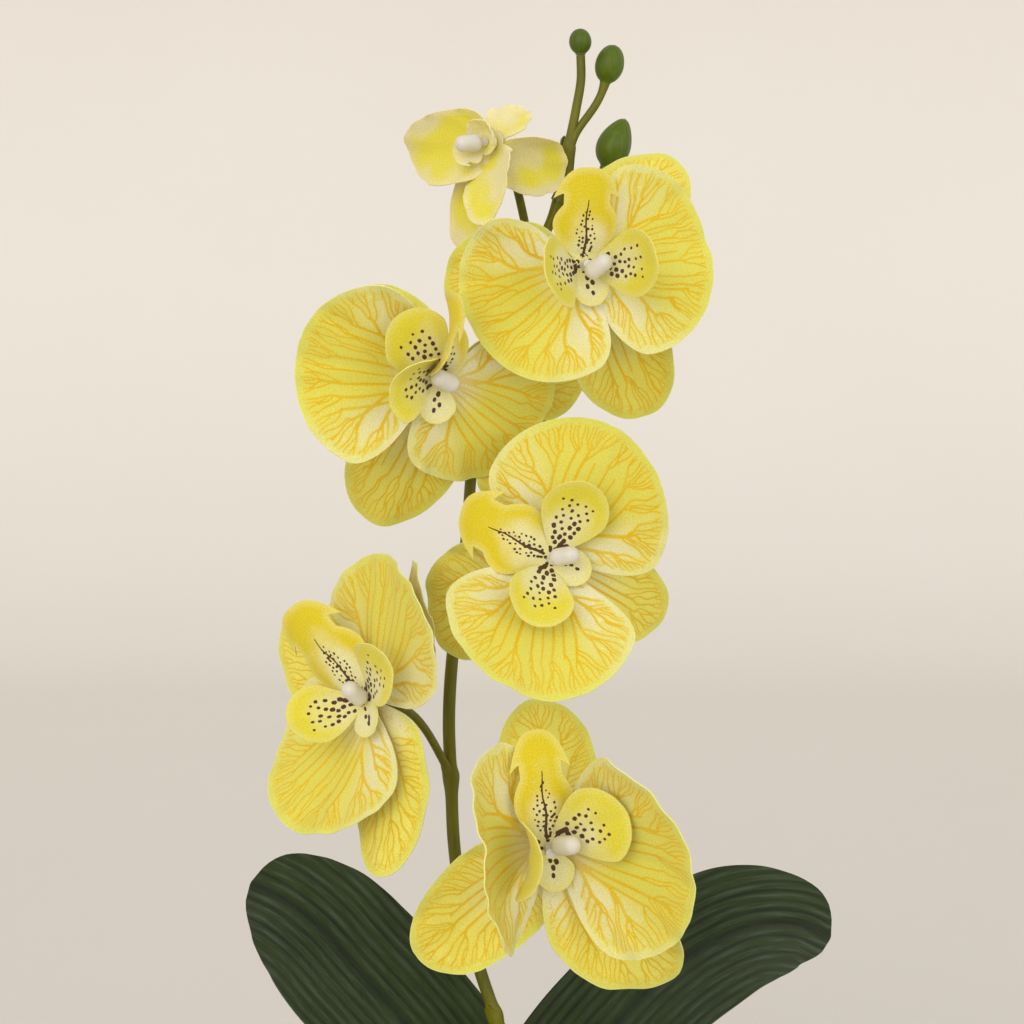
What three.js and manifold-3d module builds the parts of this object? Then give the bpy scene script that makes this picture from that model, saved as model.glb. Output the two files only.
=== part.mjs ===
// A potted moth orchid of printed fabric and moulded plastic, at its real size in millimetres.
// +Z is up, the origin is the middle of the pot's flat underside, and the blooms face -Y.
// One bent green spike carries six blooms and three buds. Four strap leaves and the spike stand
// in plain holes in a bed of bark that fills a plain glazed pot.
// Each bloom is four pieces stacked on one axis: three sepals cut from one sheet, two petals cut
// from a second sheet, a lip with lobes cut from a third, and a white column in the middle.

import * as THREE from 'three';
import { mergeVertices } from 'three/addons/utils/BufferGeometryUtils.js';
import Module from 'manifold-3d';

// ---------- driving dimensions ----------

const POT_HEIGHT = 92;
const POT_TOP_RADIUS = 57;
const POT_FOOT_RADIUS = 41;
const POT_WALL = 4.5;
const POT_FLOOR = 6;
const RIM_ROUND = 2.2; // radius of the rounded lip of the pot
const SEAT_GAP = 0.3; // what is left between two pieces that touch
const BARK_TOP = 82; // height of the bark's mean surface
const BARK_RELIEF = 3.2; // how far the chips stand out of it
const CHIP_SIZE = 11; // length of one bark chip

const SHEET = 0.7; // thickness of the stiffened fabric
const HUB_RADIUS = 4.2; // the disc in the middle of each cut sheet
const LOBE_START = 2.4; // where a lobe's blade begins inside that disc
const LEVEL = 3.4; // a lobe is usually flat as far out as this
const ROUND_FROM = 0.8; // share of the way to a lobe's side from which its edge is rounded
const ROUND_BY = 0.6; // share of the way in to the axis that the rounding reaches at the side
const SEPALS_BELOW = 1.3; // from the petals' sheet down to the sepals'
const LIP_ABOVE = 3.5; // from the petals' sheet up to the lip's
const BOSS_RADIUS = 2.6; // the lip's boss, which stands on the petals

const LEAF_SHEET = 1.2;
const LEAF_FOOT_WIDTH = 13;
const LEAF_FOOT_DEPTH = 62; // how low a leaf's foot stands in the bark
const LEAF_BEND_FROM = 90; // a leaf is flat and upright as far up as this

const SPIKE_RADIUS = 2.1;
const SPIKE_TIP_RADIUS = 1.45;
const SPIKE_FOOT = 30; // height of the spike's lower end
const NODE_SWELL = 0.8; // how much thicker the spike is where a stalk leaves it
const STALK_RADIUS = 1.4;
const CUP_RADIUS = 2.9; // the flare of a stalk behind its bloom
const CUP_LENGTH = 4;
const COLUMN_RADIUS = 2.8;
const COLUMN_LENGTH = 9.6;
const COLUMN_FOOT_RADIUS = 1.6;
const HORN_RADIUS = 4.4; // of the curl of the horns at the end of a lip
const HORN_SWEEP = 150;
const HORN_WIDTH = 4.6;
const HORN_SHEET = 1.1;
const HORN_RISE = 2.4;

const rad = THREE.MathUtils.degToRad;
const lerp = THREE.MathUtils.lerp;
const v3 = (x, y, z) => new THREE.Vector3(x, y, z);

const material = (color, roughness, metalness = 0) =>
  new THREE.MeshStandardMaterial({ color, roughness, metalness });

const FINISH = {
  glaze: material('#ece8df', 0.25),
  bark: material('#6a4a33', 0.9),
  leaf: material('#2c3d1f', 0.5),
  stem: material('#5f6b1c', 0.45),
  bud: material('#4f7422', 0.4),
  sepal: material('#e3c93c', 0.85),
  petal: material('#e9db55', 0.85),
  lip: material('#ead84c', 0.8),
  column: material('#efebe2', 0.4),
};

// ---------- solids ----------

const wasm = await Module();
wasm.setup();

// A closed three.js geometry as a solid that can be joined and cut.
function solidOf(geometry) {
  const bare = new THREE.BufferGeometry();
  bare.setAttribute('position', geometry.getAttribute('position'));
  bare.setIndex(geometry.index);
  const merged = mergeVertices(bare, 1e-4);
  return new wasm.Manifold(
    new wasm.Mesh({
      numProp: 3,
      vertProperties: merged.attributes.position.array,
      triVerts: new Uint32Array(merged.index.array),
    }),
  );
}

function geometryOf(solid) {
  const { vertProperties, triVerts } = solid.getMesh();
  const geometry = new THREE.BufferGeometry();
  geometry.setAttribute('position', new THREE.BufferAttribute(vertProperties, 3));
  geometry.setIndex(new THREE.BufferAttribute(triVerts, 1));
  geometry.computeVertexNormals();
  return geometry;
}

// Joined geometries, with the tiny hollows that are left between them filled.
function fuse(geometries) {
  const joined = geometries.map(solidOf).reduce((sum, next) => sum.add(next));
  return geometryOf(joined.decompose().reduce((a, b) => (a.volume() > b.volume() ? a : b)));
}

const cut = (geometry, holes) =>
  geometryOf(holes.map(solidOf).reduce((left, hole) => left.subtract(hole), solidOf(geometry)));

function meshed(positions, index) {
  const geometry = new THREE.BufferGeometry();
  geometry.setAttribute('position', new THREE.Float32BufferAttribute(positions, 3));
  geometry.setIndex(index);
  return geometry;
}

// Two matching grids of points, a face and its back, closed round their edge.
function closedGrid(face, back, columns, rows) {
  const positions = [...face, ...back].flatMap((p) => p.toArray());
  const at = (i, j) => j * (columns + 1) + i;
  const under = face.length;
  const index = [];
  for (let j = 0; j < rows; j++) {
    for (let i = 0; i < columns; i++) {
      const [a, b, c, d] = [at(i, j), at(i + 1, j), at(i + 1, j + 1), at(i, j + 1)];
      index.push(a, b, c, a, c, d);
      index.push(under + a, under + c, under + b, under + a, under + d, under + c);
    }
  }
  const edge = [];
  for (let i = 0; i < columns; i++) edge.push(at(i, 0));
  for (let j = 0; j < rows; j++) edge.push(at(columns, j));
  for (let i = columns; i > 0; i--) edge.push(at(i, rows));
  for (let j = rows; j > 0; j--) edge.push(at(0, j));
  edge.forEach((p, k) => {
    const q = edge[(k + 1) % edge.length];
    index.push(p, under + p, q, q, under + p, under + q);
  });
  return meshed(positions, index);
}

// A thin blade: surface(u, v) gives a point for u and v from 0 to 1, and the blade is a sheet of
// the given thickness about it.
function blade(surface, columns, rows, thickness) {
  const face = [];
  const back = [];
  const step = 1e-3;
  for (let j = 0; j <= rows; j++) {
    for (let i = 0; i <= columns; i++) {
      const [u, v] = [i / columns, j / rows];
      const point = surface(u, v);
      const alongU = surface(u + step, v).sub(surface(u - step, v));
      const alongV = surface(u, v + step).sub(surface(u, v - step));
      const normal = alongU.cross(alongV).setLength(thickness / 2);
      face.push(point.clone().add(normal));
      back.push(point.clone().sub(normal));
    }
  }
  return closedGrid(face, back, columns, rows);
}

// A round tube along a curve with a radius that may change, closed by a point at each end.
function tube(curve, steps, sides, radiusAt) {
  const { normals, binormals } = curve.computeFrenetFrames(steps);
  const positions = [];
  for (let k = 0; k <= steps; k++) {
    const centre = curve.getPointAt(k / steps);
    const radius = radiusAt(k / steps);
    for (let s = 0; s < sides; s++) {
      const turn = (2 * Math.PI * s) / sides;
      const out = normals[k].clone().multiplyScalar(Math.cos(turn));
      out.addScaledVector(binormals[k], Math.sin(turn));
      positions.push(...centre.clone().addScaledVector(out, radius).toArray());
    }
  }
  const first = positions.length / 3;
  positions.push(...curve.getPointAt(0).toArray(), ...curve.getPointAt(1).toArray());
  const index = [];
  for (let s = 0; s < sides; s++) {
    const t = (s + 1) % sides;
    for (let k = 0; k < steps; k++) {
      const [a, b] = [k * sides + s, k * sides + t];
      index.push(a, b, a + sides, b, b + sides, a + sides);
    }
    index.push(first, t, s, first + 1, steps * sides + s, steps * sides + t);
  }
  return meshed(positions, index);
}

function piece(name, geometry, finish) {
  const mesh = new THREE.Mesh(geometry, finish);
  mesh.name = name;
  return mesh;
}

const orchid = new THREE.Group();

// ---------- lobes of a bloom ----------

// A lobe is cut flat as an oval, then bent. Lengths are in millimetres, and angles in degrees:
//   at       direction of its midline, anticlockwise from the top of the bloom as one looks at it
//   length   from the axis to the tip;  half: half its width
//   fan      how far its straight sides turn out from the midline, on each side
//   foot     how far the oval's near edge lies behind the axis, as a share of the length
//   tilt     slope of the midline away from the bloom's plane, forward if positive
//   curl     how far the midline bends over its length;  cup: how far the sides turn forward
//   twist    turn about the midline by the tip;  soon: below 1, most of it is near the foot
//   wave     height of the ripple at the edge;  waves: how many;  level: how far out it is flat
const SEPAL = { length: 53, half: 17, fan: 56, foot: 0.12, cup: 14, tilt: -10, curl: -14 };
const PETAL = { length: 44, half: 30, fan: 75, foot: 0.25, cup: 14, tilt: 6, curl: -10, wave: 1 };
const LIP_LONG = { length: 32, half: 11, fan: 58, foot: 0.02, cup: -15, tilt: 20, curl: -45 };
const LIP_SIDE = { length: 28, half: 11, fan: 42, foot: -0.2, cup: 20, tilt: 40, curl: 15 };
const LIP_SHORT = { length: 13, half: 6, fan: 48, foot: 0.12, cup: 10, tilt: 8, curl: 0 };

const PLAIN = { twist: 0, soon: 1, wave: 0, waves: 3, level: LEVEL };

const whole = (basic, own) => ({ ...PLAIN, ...basic, ...own });

// Distance from the axis to the oval's far edge, in a direction turned off the midline.
function reach({ length, half, foot }, turn) {
  const long = (length * (1 + foot)) / 2;
  const centre = length - long;
  const [c, s] = [Math.cos(turn), Math.sin(turn)];
  const a = (c / long) ** 2 + (s / half) ** 2;
  const b = (centre * c) / long ** 2;
  const d = (centre / long) ** 2 - 1;
  return (b + Math.sqrt(Math.max(0, b * b - a * d))) / a;
}

// How far the sides turn out: no further than where they touch the oval.
function widest({ length, half, foot, fan }) {
  const long = (length * (1 + foot)) / 2;
  const centre = length - long;
  if (centre <= long) return rad(fan);
  return Math.min(rad(fan), 0.99 * Math.atan(half / Math.sqrt(centre ** 2 - long ** 2)));
}

// The bent place of the flat point x along the midline and y to its right.
function bend(shape, x, y, lift) {
  const { at, length, half, tilt, curl, cup, twist, soon, level } = shape;
  const run = Math.max(0, x - level);
  const slope = rad(tilt);
  const turn = rad(curl) / length || 1e-9;
  const heading = slope + turn * run;
  const along = Math.min(x, level) + (Math.sin(heading) - Math.sin(slope)) / turn;
  const rise = (Math.cos(slope) - Math.cos(heading)) / turn;
  const fold = rad(cup) / half || 1e-9;
  const across = Math.sin(fold * y) / fold;
  const raised = (1 - Math.cos(fold * y)) / fold + lift;
  const roll = rad(twist) * (run / length) ** soon;
  const side = across * Math.cos(roll) + raised * Math.sin(roll);
  const up = raised * Math.cos(roll) - across * Math.sin(roll);
  const out = along - up * Math.sin(heading);
  const [c, s] = [Math.cos(rad(at)), Math.sin(rad(at))];
  return v3(side * c - out * s, side * s + out * c, rise + up * Math.cos(heading));
}

// Distance from the axis to the cut edge: the oval's, rounded off at both sides.
function cutEdge(shape, turn) {
  const aside = Math.max(0, Math.abs(turn) / widest(shape) - ROUND_FROM) / (1 - ROUND_FROM);
  const rounded = 1 - ROUND_BY * (1 - Math.sqrt(Math.max(0, 1 - aside ** 2)));
  return Math.max(LOBE_START + 0.6, reach(shape, turn) * rounded);
}

function lobeBlade(shape, columns, rows) {
  const fan = widest(shape);
  return blade(
    (u, v) => {
      const share = 2 * u - 1;
      const turn = fan * (0.6 * share + 0.4 * Math.sin((share * Math.PI) / 2));
      const radius = lerp(LOBE_START, cutEdge(shape, turn), v);
      const lift = shape.wave * v ** 3 * Math.sin(turn * shape.waves * 2);
      return bend(shape, radius * Math.cos(turn), radius * Math.sin(turn), lift);
    },
    columns,
    rows,
    SHEET,
  );
}

// A horn at the end of the lip's long lobe: a tapered strip that curls out, back and up.
function horn(shape, side) {
  return blade(
    (u, v) => {
      const sweep = rad(HORN_SWEEP) * v;
      const offset = (u - 0.5) * HORN_WIDTH * (1 - 0.8 * v);
      const back = HORN_RADIUS * (1 - Math.cos(sweep)) + offset * Math.cos(sweep);
      const out = (HORN_RADIUS + offset) * Math.sin(sweep);
      const [along, across] = [0.93 * shape.length - back, 0.36 * shape.half + out];
      return bend(shape, along, side * across, HORN_RISE * v ** 2);
    },
    1,
    4,
    HORN_SHEET,
  );
}

function disc(radius, bottom, top) {
  return new THREE.CylinderGeometry(radius, radius, top - bottom, 8)
    .rotateX(Math.PI / 2)
    .translate(0, 0, (top + bottom) / 2);
}

// ---------- blooms ----------

// Each bloom: the middle of its petals, which way it faces (degrees to the right of straight
// ahead, and up), how far its top is turned anticlockwise, and each lobe's own bends.
const BLOOMS = [
  {
    name: 'bloom_1', middle: [10, -50, 207], face: [5, -5], roll: -166, size: 1.1,
    sepals: [
      { at: 24, length: 58, half: 18, fan: 44, tilt: 11, curl: -36, cup: 40, twist: 21 },
      { at: 161, length: 53, half: 15, tilt: -48, curl: -16 },
      { at: -55, length: 55, half: 16, tilt: -10, curl: -11, twist: 6 },
    ],
    petals: [
      { at: 76, length: 50, half: 31.5, fan: 64, tilt: 28.5, curl: 33, cup: 18, twist: 17 },
      { at: -102.5, length: 37, half: 32, fan: 78, tilt: 32, curl: 68, cup: 5, twist: 13, level: 5 },
    ],
    lipLong: { at: 173, length: 35.5, half: 8.5, fan: 44, tilt: 27, curl: -60, cup: -7, twist: 6 },
    lipLeft: { at: 113, length: 29.5, half: 12, fan: 36, tilt: 44, curl: -20, cup: 15, twist: -18 },
    lipRight: { at: -102, length: 25.5, half: 12, fan: 45, tilt: 65, curl: 54, cup: -36, twist: -14 },
    column: { base: [-3.3, -1.5, 9.5], at: 99, lean: 42 },
  },
  {
    name: 'bloom_2', middle: [-46, -30, 249], face: [-47, 10], roll: -142, size: 1.05,
    sepals: [
      { at: -17, length: 55, half: 15.5, fan: 60, tilt: -9, curl: 29, cup: -17, twist: -11 },
      { at: -146, length: 53, half: 18, tilt: -6, curl: 12, twist: -5 },
      { at: 121, length: 46, half: 17, tilt: -8, curl: 31, cup: -34, twist: -32 },
    ],
    petals: [
      { at: 124, length: 45.5, half: 30, tilt: 5, curl: 16, cup: 7, twist: -9 },
      { at: -67, length: 47.5, half: 29.5, fan: 76, tilt: 0, curl: 36, cup: 2, twist: 14 },
    ],
    lipLong: { at: 181, length: 36, half: 12, fan: 54, tilt: 35, curl: -9, cup: -35, twist: 6 },
    lipLeft: { at: 87, length: 28, half: 10.5, tilt: 27, curl: -1, cup: 30, twist: 27 },
    lipRight: { at: -90, length: 25, half: 10.5, tilt: 42, curl: 29, twist: 7 },
    column: { base: [-2.5, 1, 7.2], at: 137, lean: 26 },
  },
  {
    name: 'bloom_3', middle: [11, -40, 295.5], face: [5, 0], roll: -114, size: 1.02,
    sepals: [
      { at: -7, half: 15, tilt: -23, curl: -19 },
      { at: 127, length: 58, half: 17, fan: 36, tilt: -44, curl: 2, cup: 46, twist: -16 },
      { at: -121, length: 54, half: 19, tilt: -25, curl: -28, cup: 25, twist: 25 },
    ],
    petals: [
      { at: 86, length: 45.5, half: 29.5, fan: 77, tilt: 16, curl: -5, cup: 11, twist: -33 },
      { at: -80, length: 49, half: 30, fan: 65, tilt: 33, curl: 8, cup: 12, twist: -2 },
    ],
    lipLong: { at: 176, length: 33, half: 11.5, fan: 46, tilt: 28, curl: -78, cup: -6, twist: -22 },
    lipLeft: { at: 91, length: 30, half: 10.5, tilt: 22, curl: 24 },
    lipRight: { at: -89, length: 27.5, tilt: 49, curl: -4, cup: 33 },
    column: { base: [-1.5, 1, 9.5], at: 37, lean: 60 },
  },
  {
    name: 'bloom_4', middle: [-23, -41, 351.5], face: [9, -15], roll: 167, size: 1.04,
    sepals: [
      { at: -5, length: 61, half: 17.5, tilt: -21, curl: -5, cup: 12, twist: 6 },
      { at: 93, length: 59, half: 16, tilt: -27, curl: -8, cup: 9 },
      { at: -110, length: 42, half: 15, tilt: -38 },
    ],
    petals: [
      { at: 64, length: 39, half: 26, fan: 85, tilt: -7, curl: -18, cup: 2, twist: 1 },
      { at: -86, fan: 62, tilt: 6, curl: -18, cup: 38 },
    ],
    lipLong: { at: 192, length: 33.5, half: 9, fan: 50, tilt: 46, curl: -49, cup: 25, twist: 129, soon: 0.7 },
    lipLeft: { at: -90, length: 23, half: 13.5, fan: 44, tilt: 57, curl: -26, cup: 58, twist: -18 },
    lipRight: { at: -133, length: 27, half: 11.5, fan: 37, tilt: 23, curl: -19, cup: 40, twist: 20 },
    column: { base: [-1.5, -1, 8], at: -107, lean: 72 },
  },
  {
    name: 'bloom_5', middle: [20.5, -47, 386], face: [10, 1], roll: -165, size: 0.99,
    sepals: [
      { at: 14, length: 58.5, half: 17.5, fan: 40, tilt: -18, curl: -14, cup: 36, twist: 22 },
      { at: 120, length: 57.5, half: 16, tilt: -24, curl: -8, cup: 14, twist: -26 },
      { at: -100, half: 16, tilt: -36, curl: -19, twist: 8 },
    ],
    petals: [
      { at: 81, length: 43.5, half: 30, fan: 74, tilt: -4, curl: -10, cup: 16, twist: -6 },
      { at: -67, length: 39.5, fan: 78, tilt: -6, curl: -8, cup: 34, twist: 20 },
    ],
    lipLong: { at: 166, length: 31, half: 10.5, tilt: 32, curl: -28, cup: -30 },
    lipLeft: { at: 76, length: 32, half: 10.5, tilt: 42, curl: 42, cup: 7, twist: 8 },
    lipRight: { at: -89, length: 28, half: 11.5, tilt: 50, curl: 17 },
    column: { base: [-1, 2, 10], at: 112, lean: 60 },
  },
  {
    name: 'bloom_6', middle: [-7, -15, 426.6], face: [-42, 0], roll: 0, size: 1,
    sepals: [
      { at: -133, length: 29, half: 11, tilt: -57, curl: -29, cup: 45, twist: -40 },
      { at: 150, length: 38, half: 9, tilt: 0, curl: -7, cup: 12 },
      { at: -20, length: 16, half: 9, tilt: -34, curl: -24, cup: 13 },
    ],
    petals: [
      { at: 93, length: 36, half: 13.5, tilt: 15, curl: -25, cup: 49, twist: -15 },
      { at: -174, length: 28.5, half: 9.5, tilt: 22, curl: -5, cup: 12 },
    ],
    lipLong: { at: 120, length: 12, half: 5, tilt: 46, curl: -10, cup: 10 },
    lipLeft: { at: 28, length: 9, half: 4, tilt: 40 },
    lipRight: { at: -64, length: 9, half: 4, tilt: 46 },
    lipShort: { length: 8, half: 4, tilt: 40 },
    column: { base: [-1, -0.5, 8], at: 120, lean: 15 },
  },
];

// A frame at the middle of a bloom's petals: its Z is the way the bloom faces, and its Y its top.
function bloomFrame({ middle, face, roll, size }) {
  const frame = new THREE.Group();
  const [right, up] = face.map(rad);
  const ahead = v3(Math.sin(right) * Math.cos(up), -Math.cos(right) * Math.cos(up), Math.sin(up));
  const top = v3(0, 0, 1).addScaledVector(ahead, -ahead.z).normalize();
  const side = top.clone().cross(ahead);
  frame.matrix.makeBasis(side, top, ahead);
  frame.matrix.decompose(frame.position, frame.quaternion, frame.scale);
  frame.rotateZ(rad(roll));
  frame.position.set(...middle);
  frame.scale.setScalar(size);
  return frame;
}

function sepals(spec) {
  const lobes = spec.sepals.map((own) => lobeBlade(whole(SEPAL, own), 6, 3));
  return fuse([disc(HUB_RADIUS, -0.5, 0.5), ...lobes]);
}

function petals(spec) {
  const lobes = spec.petals.map((own) => lobeBlade(whole(PETAL, own), 8, 3));
  return fuse([disc(HUB_RADIUS, -0.35, 0.4), ...lobes]);
}

function lip(spec) {
  const long = whole(LIP_LONG, spec.lipLong);
  const boss = disc(BOSS_RADIUS, 0.4 + SEAT_GAP - LIP_ABOVE, 0);
  return fuse([
    disc(HUB_RADIUS, -0.35, 0.35),
    boss,
    lobeBlade(long, 8, 3),
    horn(long, 1),
    horn(long, -1),
    lobeBlade(whole(LIP_SIDE, spec.lipLeft), 4, 3),
    lobeBlade(whole(LIP_SIDE, spec.lipRight), 4, 3),
    lobeBlade(whole(LIP_SHORT, { at: 0, ...spec.lipShort }), 4, 2),
  ]);
}

// The column: a capsule that leans away from the bloom's axis, on a thin foot on the lip.
function column({ column: { base, at, lean } }) {
  const straight = COLUMN_LENGTH - 2 * COLUMN_RADIUS;
  const capsule = new THREE.CapsuleGeometry(COLUMN_RADIUS, straight, 3, 8)
    .translate(0, straight / 2, 0)
    .rotateX(rad(90 - lean))
    .rotateZ(rad(at))
    .translate(...base);
  return fuse([capsule, disc(COLUMN_FOOT_RADIUS, LIP_ABOVE + SHEET / 2 + SEAT_GAP, base[2])]);
}

function bloom(spec) {
  const frame = bloomFrame(spec);
  const under = piece(`${spec.name}_sepals`, sepals(spec), FINISH.sepal);
  const middle = piece(`${spec.name}_petals`, petals(spec), FINISH.petal);
  const over = piece(`${spec.name}_lip`, lip(spec), FINISH.lip);
  under.position.z = -SEPALS_BELOW;
  over.position.z = LIP_ABOVE;
  frame.add(under, middle, over, piece(`${spec.name}_column`, column(spec), FINISH.column));
  return frame;
}

BLOOMS.forEach((spec) => orchid.add(bloom(spec)));

// ---------- buds ----------

// Each bud: the middle of its foot, the way it points, its length, its widest radius and how much
// it narrows to its tip.
const BUDS = [
  {
    name: 'bud_1', foot: [21.4, 0, 456.6], points: [-0.03, 0, 1],
    length: 8.4, radius: 3.7, taper: 0,
  },
  {
    name: 'bud_2', foot: [29.3, 0, 447.3], points: [0.26, 0, 1],
    length: 12.8, radius: 4.8, taper: 0.05,
  },
  {
    name: 'bud_3', foot: [29.6, 3, 420.5], points: [0.42, 0, 1],
    length: 17, radius: 6.2, taper: 0.4,
  },
];
const BUD_FOOT_RADIUS = 1.7;

function bud({ name, foot, points, length, radius, taper }) {
  const steps = 7;
  const profile = [new THREE.Vector2(0, 0)];
  for (let k = 0; k <= steps; k++) {
    const t = k / steps;
    const belly = 2 * radius * Math.sqrt(t * (1 - t)) * (1 - taper * t ** 2);
    profile.push(new THREE.Vector2(Math.max(belly, BUD_FOOT_RADIUS * (1 - t)), t * length));
  }
  profile[profile.length - 1].x = 0;
  const geometry = new THREE.LatheGeometry(profile, 9).rotateX(Math.PI / 2);
  const mesh = piece(name, geometry, FINISH.bud);
  mesh.quaternion.setFromUnitVectors(v3(0, 0, 1), v3(...points).normalize());
  mesh.position.set(...foot);
  return mesh;
}

BUDS.forEach((spec) => orchid.add(bud(spec)));

// ---------- spike ----------

const SPIKE_PATH = [
  [3, 2, SPIKE_FOOT], [2.5, 2, 70], [-0.3, 0, 101], [-6, 0, 134.4], [-11.7, 0, 152.8],
  [-17.8, 0, 176.7], [-20.4, 0, 196], [-21.3, 0, 217.3], [-22, 0, 237.5], [-20.9, 0, 257.7],
  [-17.9, 0, 281], [-15.6, 0, 304.3], [-14.2, 0, 322], [-10.6, 0, 343], [-3.4, 0, 365],
  [4.3, 0, 386.7], [11.8, 0, 402.7], [17.4, 0, 418], [17.6, 0, 426.4], [19.9, 0, 438.7],
  [21.5, 0, 448.4], [21.4, 0, 456.3],
].map((p) => v3(...p));

// Where a stalk leaves the spike, as a height, and what it goes to.
const STALKS = [
  { from: 184, bloom: 0 },
  { from: 219, bloom: 1 },
  { from: 272, bloom: 2 },
  { from: 326, bloom: 3 },
  { from: 366, bloom: 4 },
  { from: 390, bloom: 5, approach: 0.15 },
  { from: 426.4, bud: 1 },
  { from: 410, bud: 2 },
];
const NODES = [138, ...STALKS.map((stalk) => stalk.from)];

const spikeCurve = new THREE.CatmullRomCurve3(SPIKE_PATH);

// The spike's middle at a given height.
function spikeAt(height) {
  let [low, high] = [0, 1];
  for (let k = 0; k < 24; k++) {
    const middle = (low + high) / 2;
    if (spikeCurve.getPointAt(middle).z < height) low = middle;
    else high = middle;
  }
  return spikeCurve.getPointAt(low);
}

function spikeRadius(share) {
  const height = spikeCurve.getPointAt(share).z;
  const swell = Math.max(...NODES.map((node) => Math.exp(-(((height - node) / 4) ** 2))));
  const radius = lerp(SPIKE_RADIUS, SPIKE_TIP_RADIUS, Math.max(0, share * 2 - 1));
  return radius + NODE_SWELL * swell;
}

// A stalk from the spike to the seat of a bloom or bud, with a cup at its end.
function stalk({ from, bloom: bloomNumber, bud: budNumber, approach = 0.4 }) {
  const start = spikeAt(from);
  let end;
  let ahead;
  let [stalkRadius, cupRadius] = [STALK_RADIUS, CUP_RADIUS];
  if (budNumber === undefined) {
    const { matrix, scale } = bloomFrames[bloomNumber];
    ahead = v3(0, 0, 1).transformDirection(matrix);
    end = v3(0, 0, -SEPALS_BELOW - 0.5 - SEAT_GAP / scale.x).applyMatrix4(matrix);
  } else {
    ahead = v3(...BUDS[budNumber].points).normalize();
    end = v3(...BUDS[budNumber].foot).addScaledVector(ahead, -SEAT_GAP);
    [stalkRadius, cupRadius] = [STALK_RADIUS * 0.95, BUD_FOOT_RADIUS];
  }
  const span = start.distanceTo(end);
  const leave = start.clone().lerp(end, 0.3).add(v3(0, 0, 0.12 * span));
  const arrive = end.clone().addScaledVector(ahead, -approach * span);
  const path = new THREE.CubicBezierCurve3(start, leave, arrive, end);
  const cupShare = Math.min(0.5, CUP_LENGTH / path.getLength());
  const flare = (t) => Math.max(0, (t - 1 + cupShare) / cupShare) ** 1.5;
  const radiusAt = (t) => lerp(stalkRadius, cupRadius, flare(t));
  return tube(path, Math.max(5, Math.round(span / 5)), 6, radiusAt);
}

const bloomFrames = BLOOMS.map((spec) => {
  const frame = bloomFrame(spec);
  frame.updateMatrix();
  return frame;
});

const spikeTube = tube(spikeCurve, 54, 7, spikeRadius);
orchid.add(piece('flower_spike', fuse([spikeTube, ...STALKS.map(stalk)]), FINISH.stem));

// ---------- leaves ----------

// Each leaf: where its foot stands, the points its midrib passes above that, the way its upper
// face looks, its greatest width and how far its sides fold up.
const LEAVES = [
  {
    name: 'leaf_left', foot: [-7, 7], looks: [0.25, -0.9, 0.35], width: 53, fold: 14,
    rib: [
      [-12, 9, 101], [-24, 13, 113], [-38, 19, 129], [-56, 26, 147],
      [-69, 32, 159.5], [-82, 36, 168.5], [-93, 39, 173],
    ],
  },
  {
    name: 'leaf_right', foot: [9, 7], looks: [-0.15, -0.8, 0.58], width: 50, fold: 16,
    rib: [
      [13, 9, 101], [22, 13, 114], [36, 20, 129], [50, 26, 142],
      [67, 31, 153], [83, 34, 159], [99, 36, 159], [111, 37, 154],
    ],
  },
  {
    name: 'leaf_low_left', foot: [-7, -7], looks: [0.1, -0.15, 1], width: 44, fold: 18,
    rib: [
      [-14, -9, 100], [-28, -14, 106], [-45, -19, 109],
      [-63, -24, 109], [-80, -28, 105], [-92, -31, 99],
    ],
  },
  {
    name: 'leaf_low_right', foot: [9, -7], looks: [-0.1, -0.1, 1], width: 42, fold: 18,
    rib: [
      [15, -9, 99], [28, -13, 104], [44, -18, 107],
      [60, -23, 107], [75, -28, 103], [86, -31, 97],
    ],
  },
];

// A leaf's surface: u runs across it and v from its foot to its tip.
function leafSurface({ foot, rib, looks, width, fold }) {
  const [x, y] = foot;
  const risen = [[x, y, LEAF_BEND_FROM], [x, y, LEAF_BEND_FROM + 4], ...rib].map((p) => v3(...p));
  const path = new THREE.CurvePath();
  path.add(new THREE.LineCurve3(v3(x, y, LEAF_FOOT_DEPTH), risen[0]));
  path.add(new THREE.CatmullRomCurve3(risen));
  return (u, v) => {
    const share = Math.min(1, Math.max(0, v));
    const centre = path.getPointAt(share);
    const tangent = path.getTangentAt(share);
    const grown = THREE.MathUtils.smoothstep(centre.z, LEAF_BEND_FROM - 4, LEAF_BEND_FROM + 22);
    const face = v3(...looks).addScaledVector(tangent, -tangent.dot(v3(...looks))).normalize();
    const across = tangent.clone().cross(face);
    const blunt = Math.sqrt(Math.max(0, 1 - Math.max(0, (share - 0.62) / 0.38) ** 2.6));
    const half = (lerp(LEAF_FOOT_WIDTH, width, grown ** 2) * blunt) / 2;
    const side = (2 * u - 1) * Math.max(half, 0.8);
    const lift = Math.abs(side) * Math.tan(rad(fold)) * grown * 0.5;
    return centre.addScaledVector(across, side).addScaledVector(face, lift);
  };
}

const leafBlade = (leaf) => blade(leafSurface(leaf), 6, 12, LEAF_SHEET);

// The plain slot that a leaf's foot stands in.
function leafHole({ foot, looks }) {
  const [x, y] = foot;
  const depth = BARK_TOP + 2 * BARK_RELIEF - LEAF_FOOT_DEPTH + SEAT_GAP;
  return new THREE.BoxGeometry(LEAF_FOOT_WIDTH + 2 * SEAT_GAP, LEAF_SHEET + 2 * SEAT_GAP, depth)
    .rotateZ(Math.atan2(looks[1], looks[0]) + Math.PI / 2)
    .translate(x, y, LEAF_FOOT_DEPTH - SEAT_GAP + depth / 2);
}

LEAVES.forEach((leaf) => orchid.add(piece(leaf.name, leafBlade(leaf), FINISH.leaf)));

// ---------- pot and bark ----------

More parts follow.
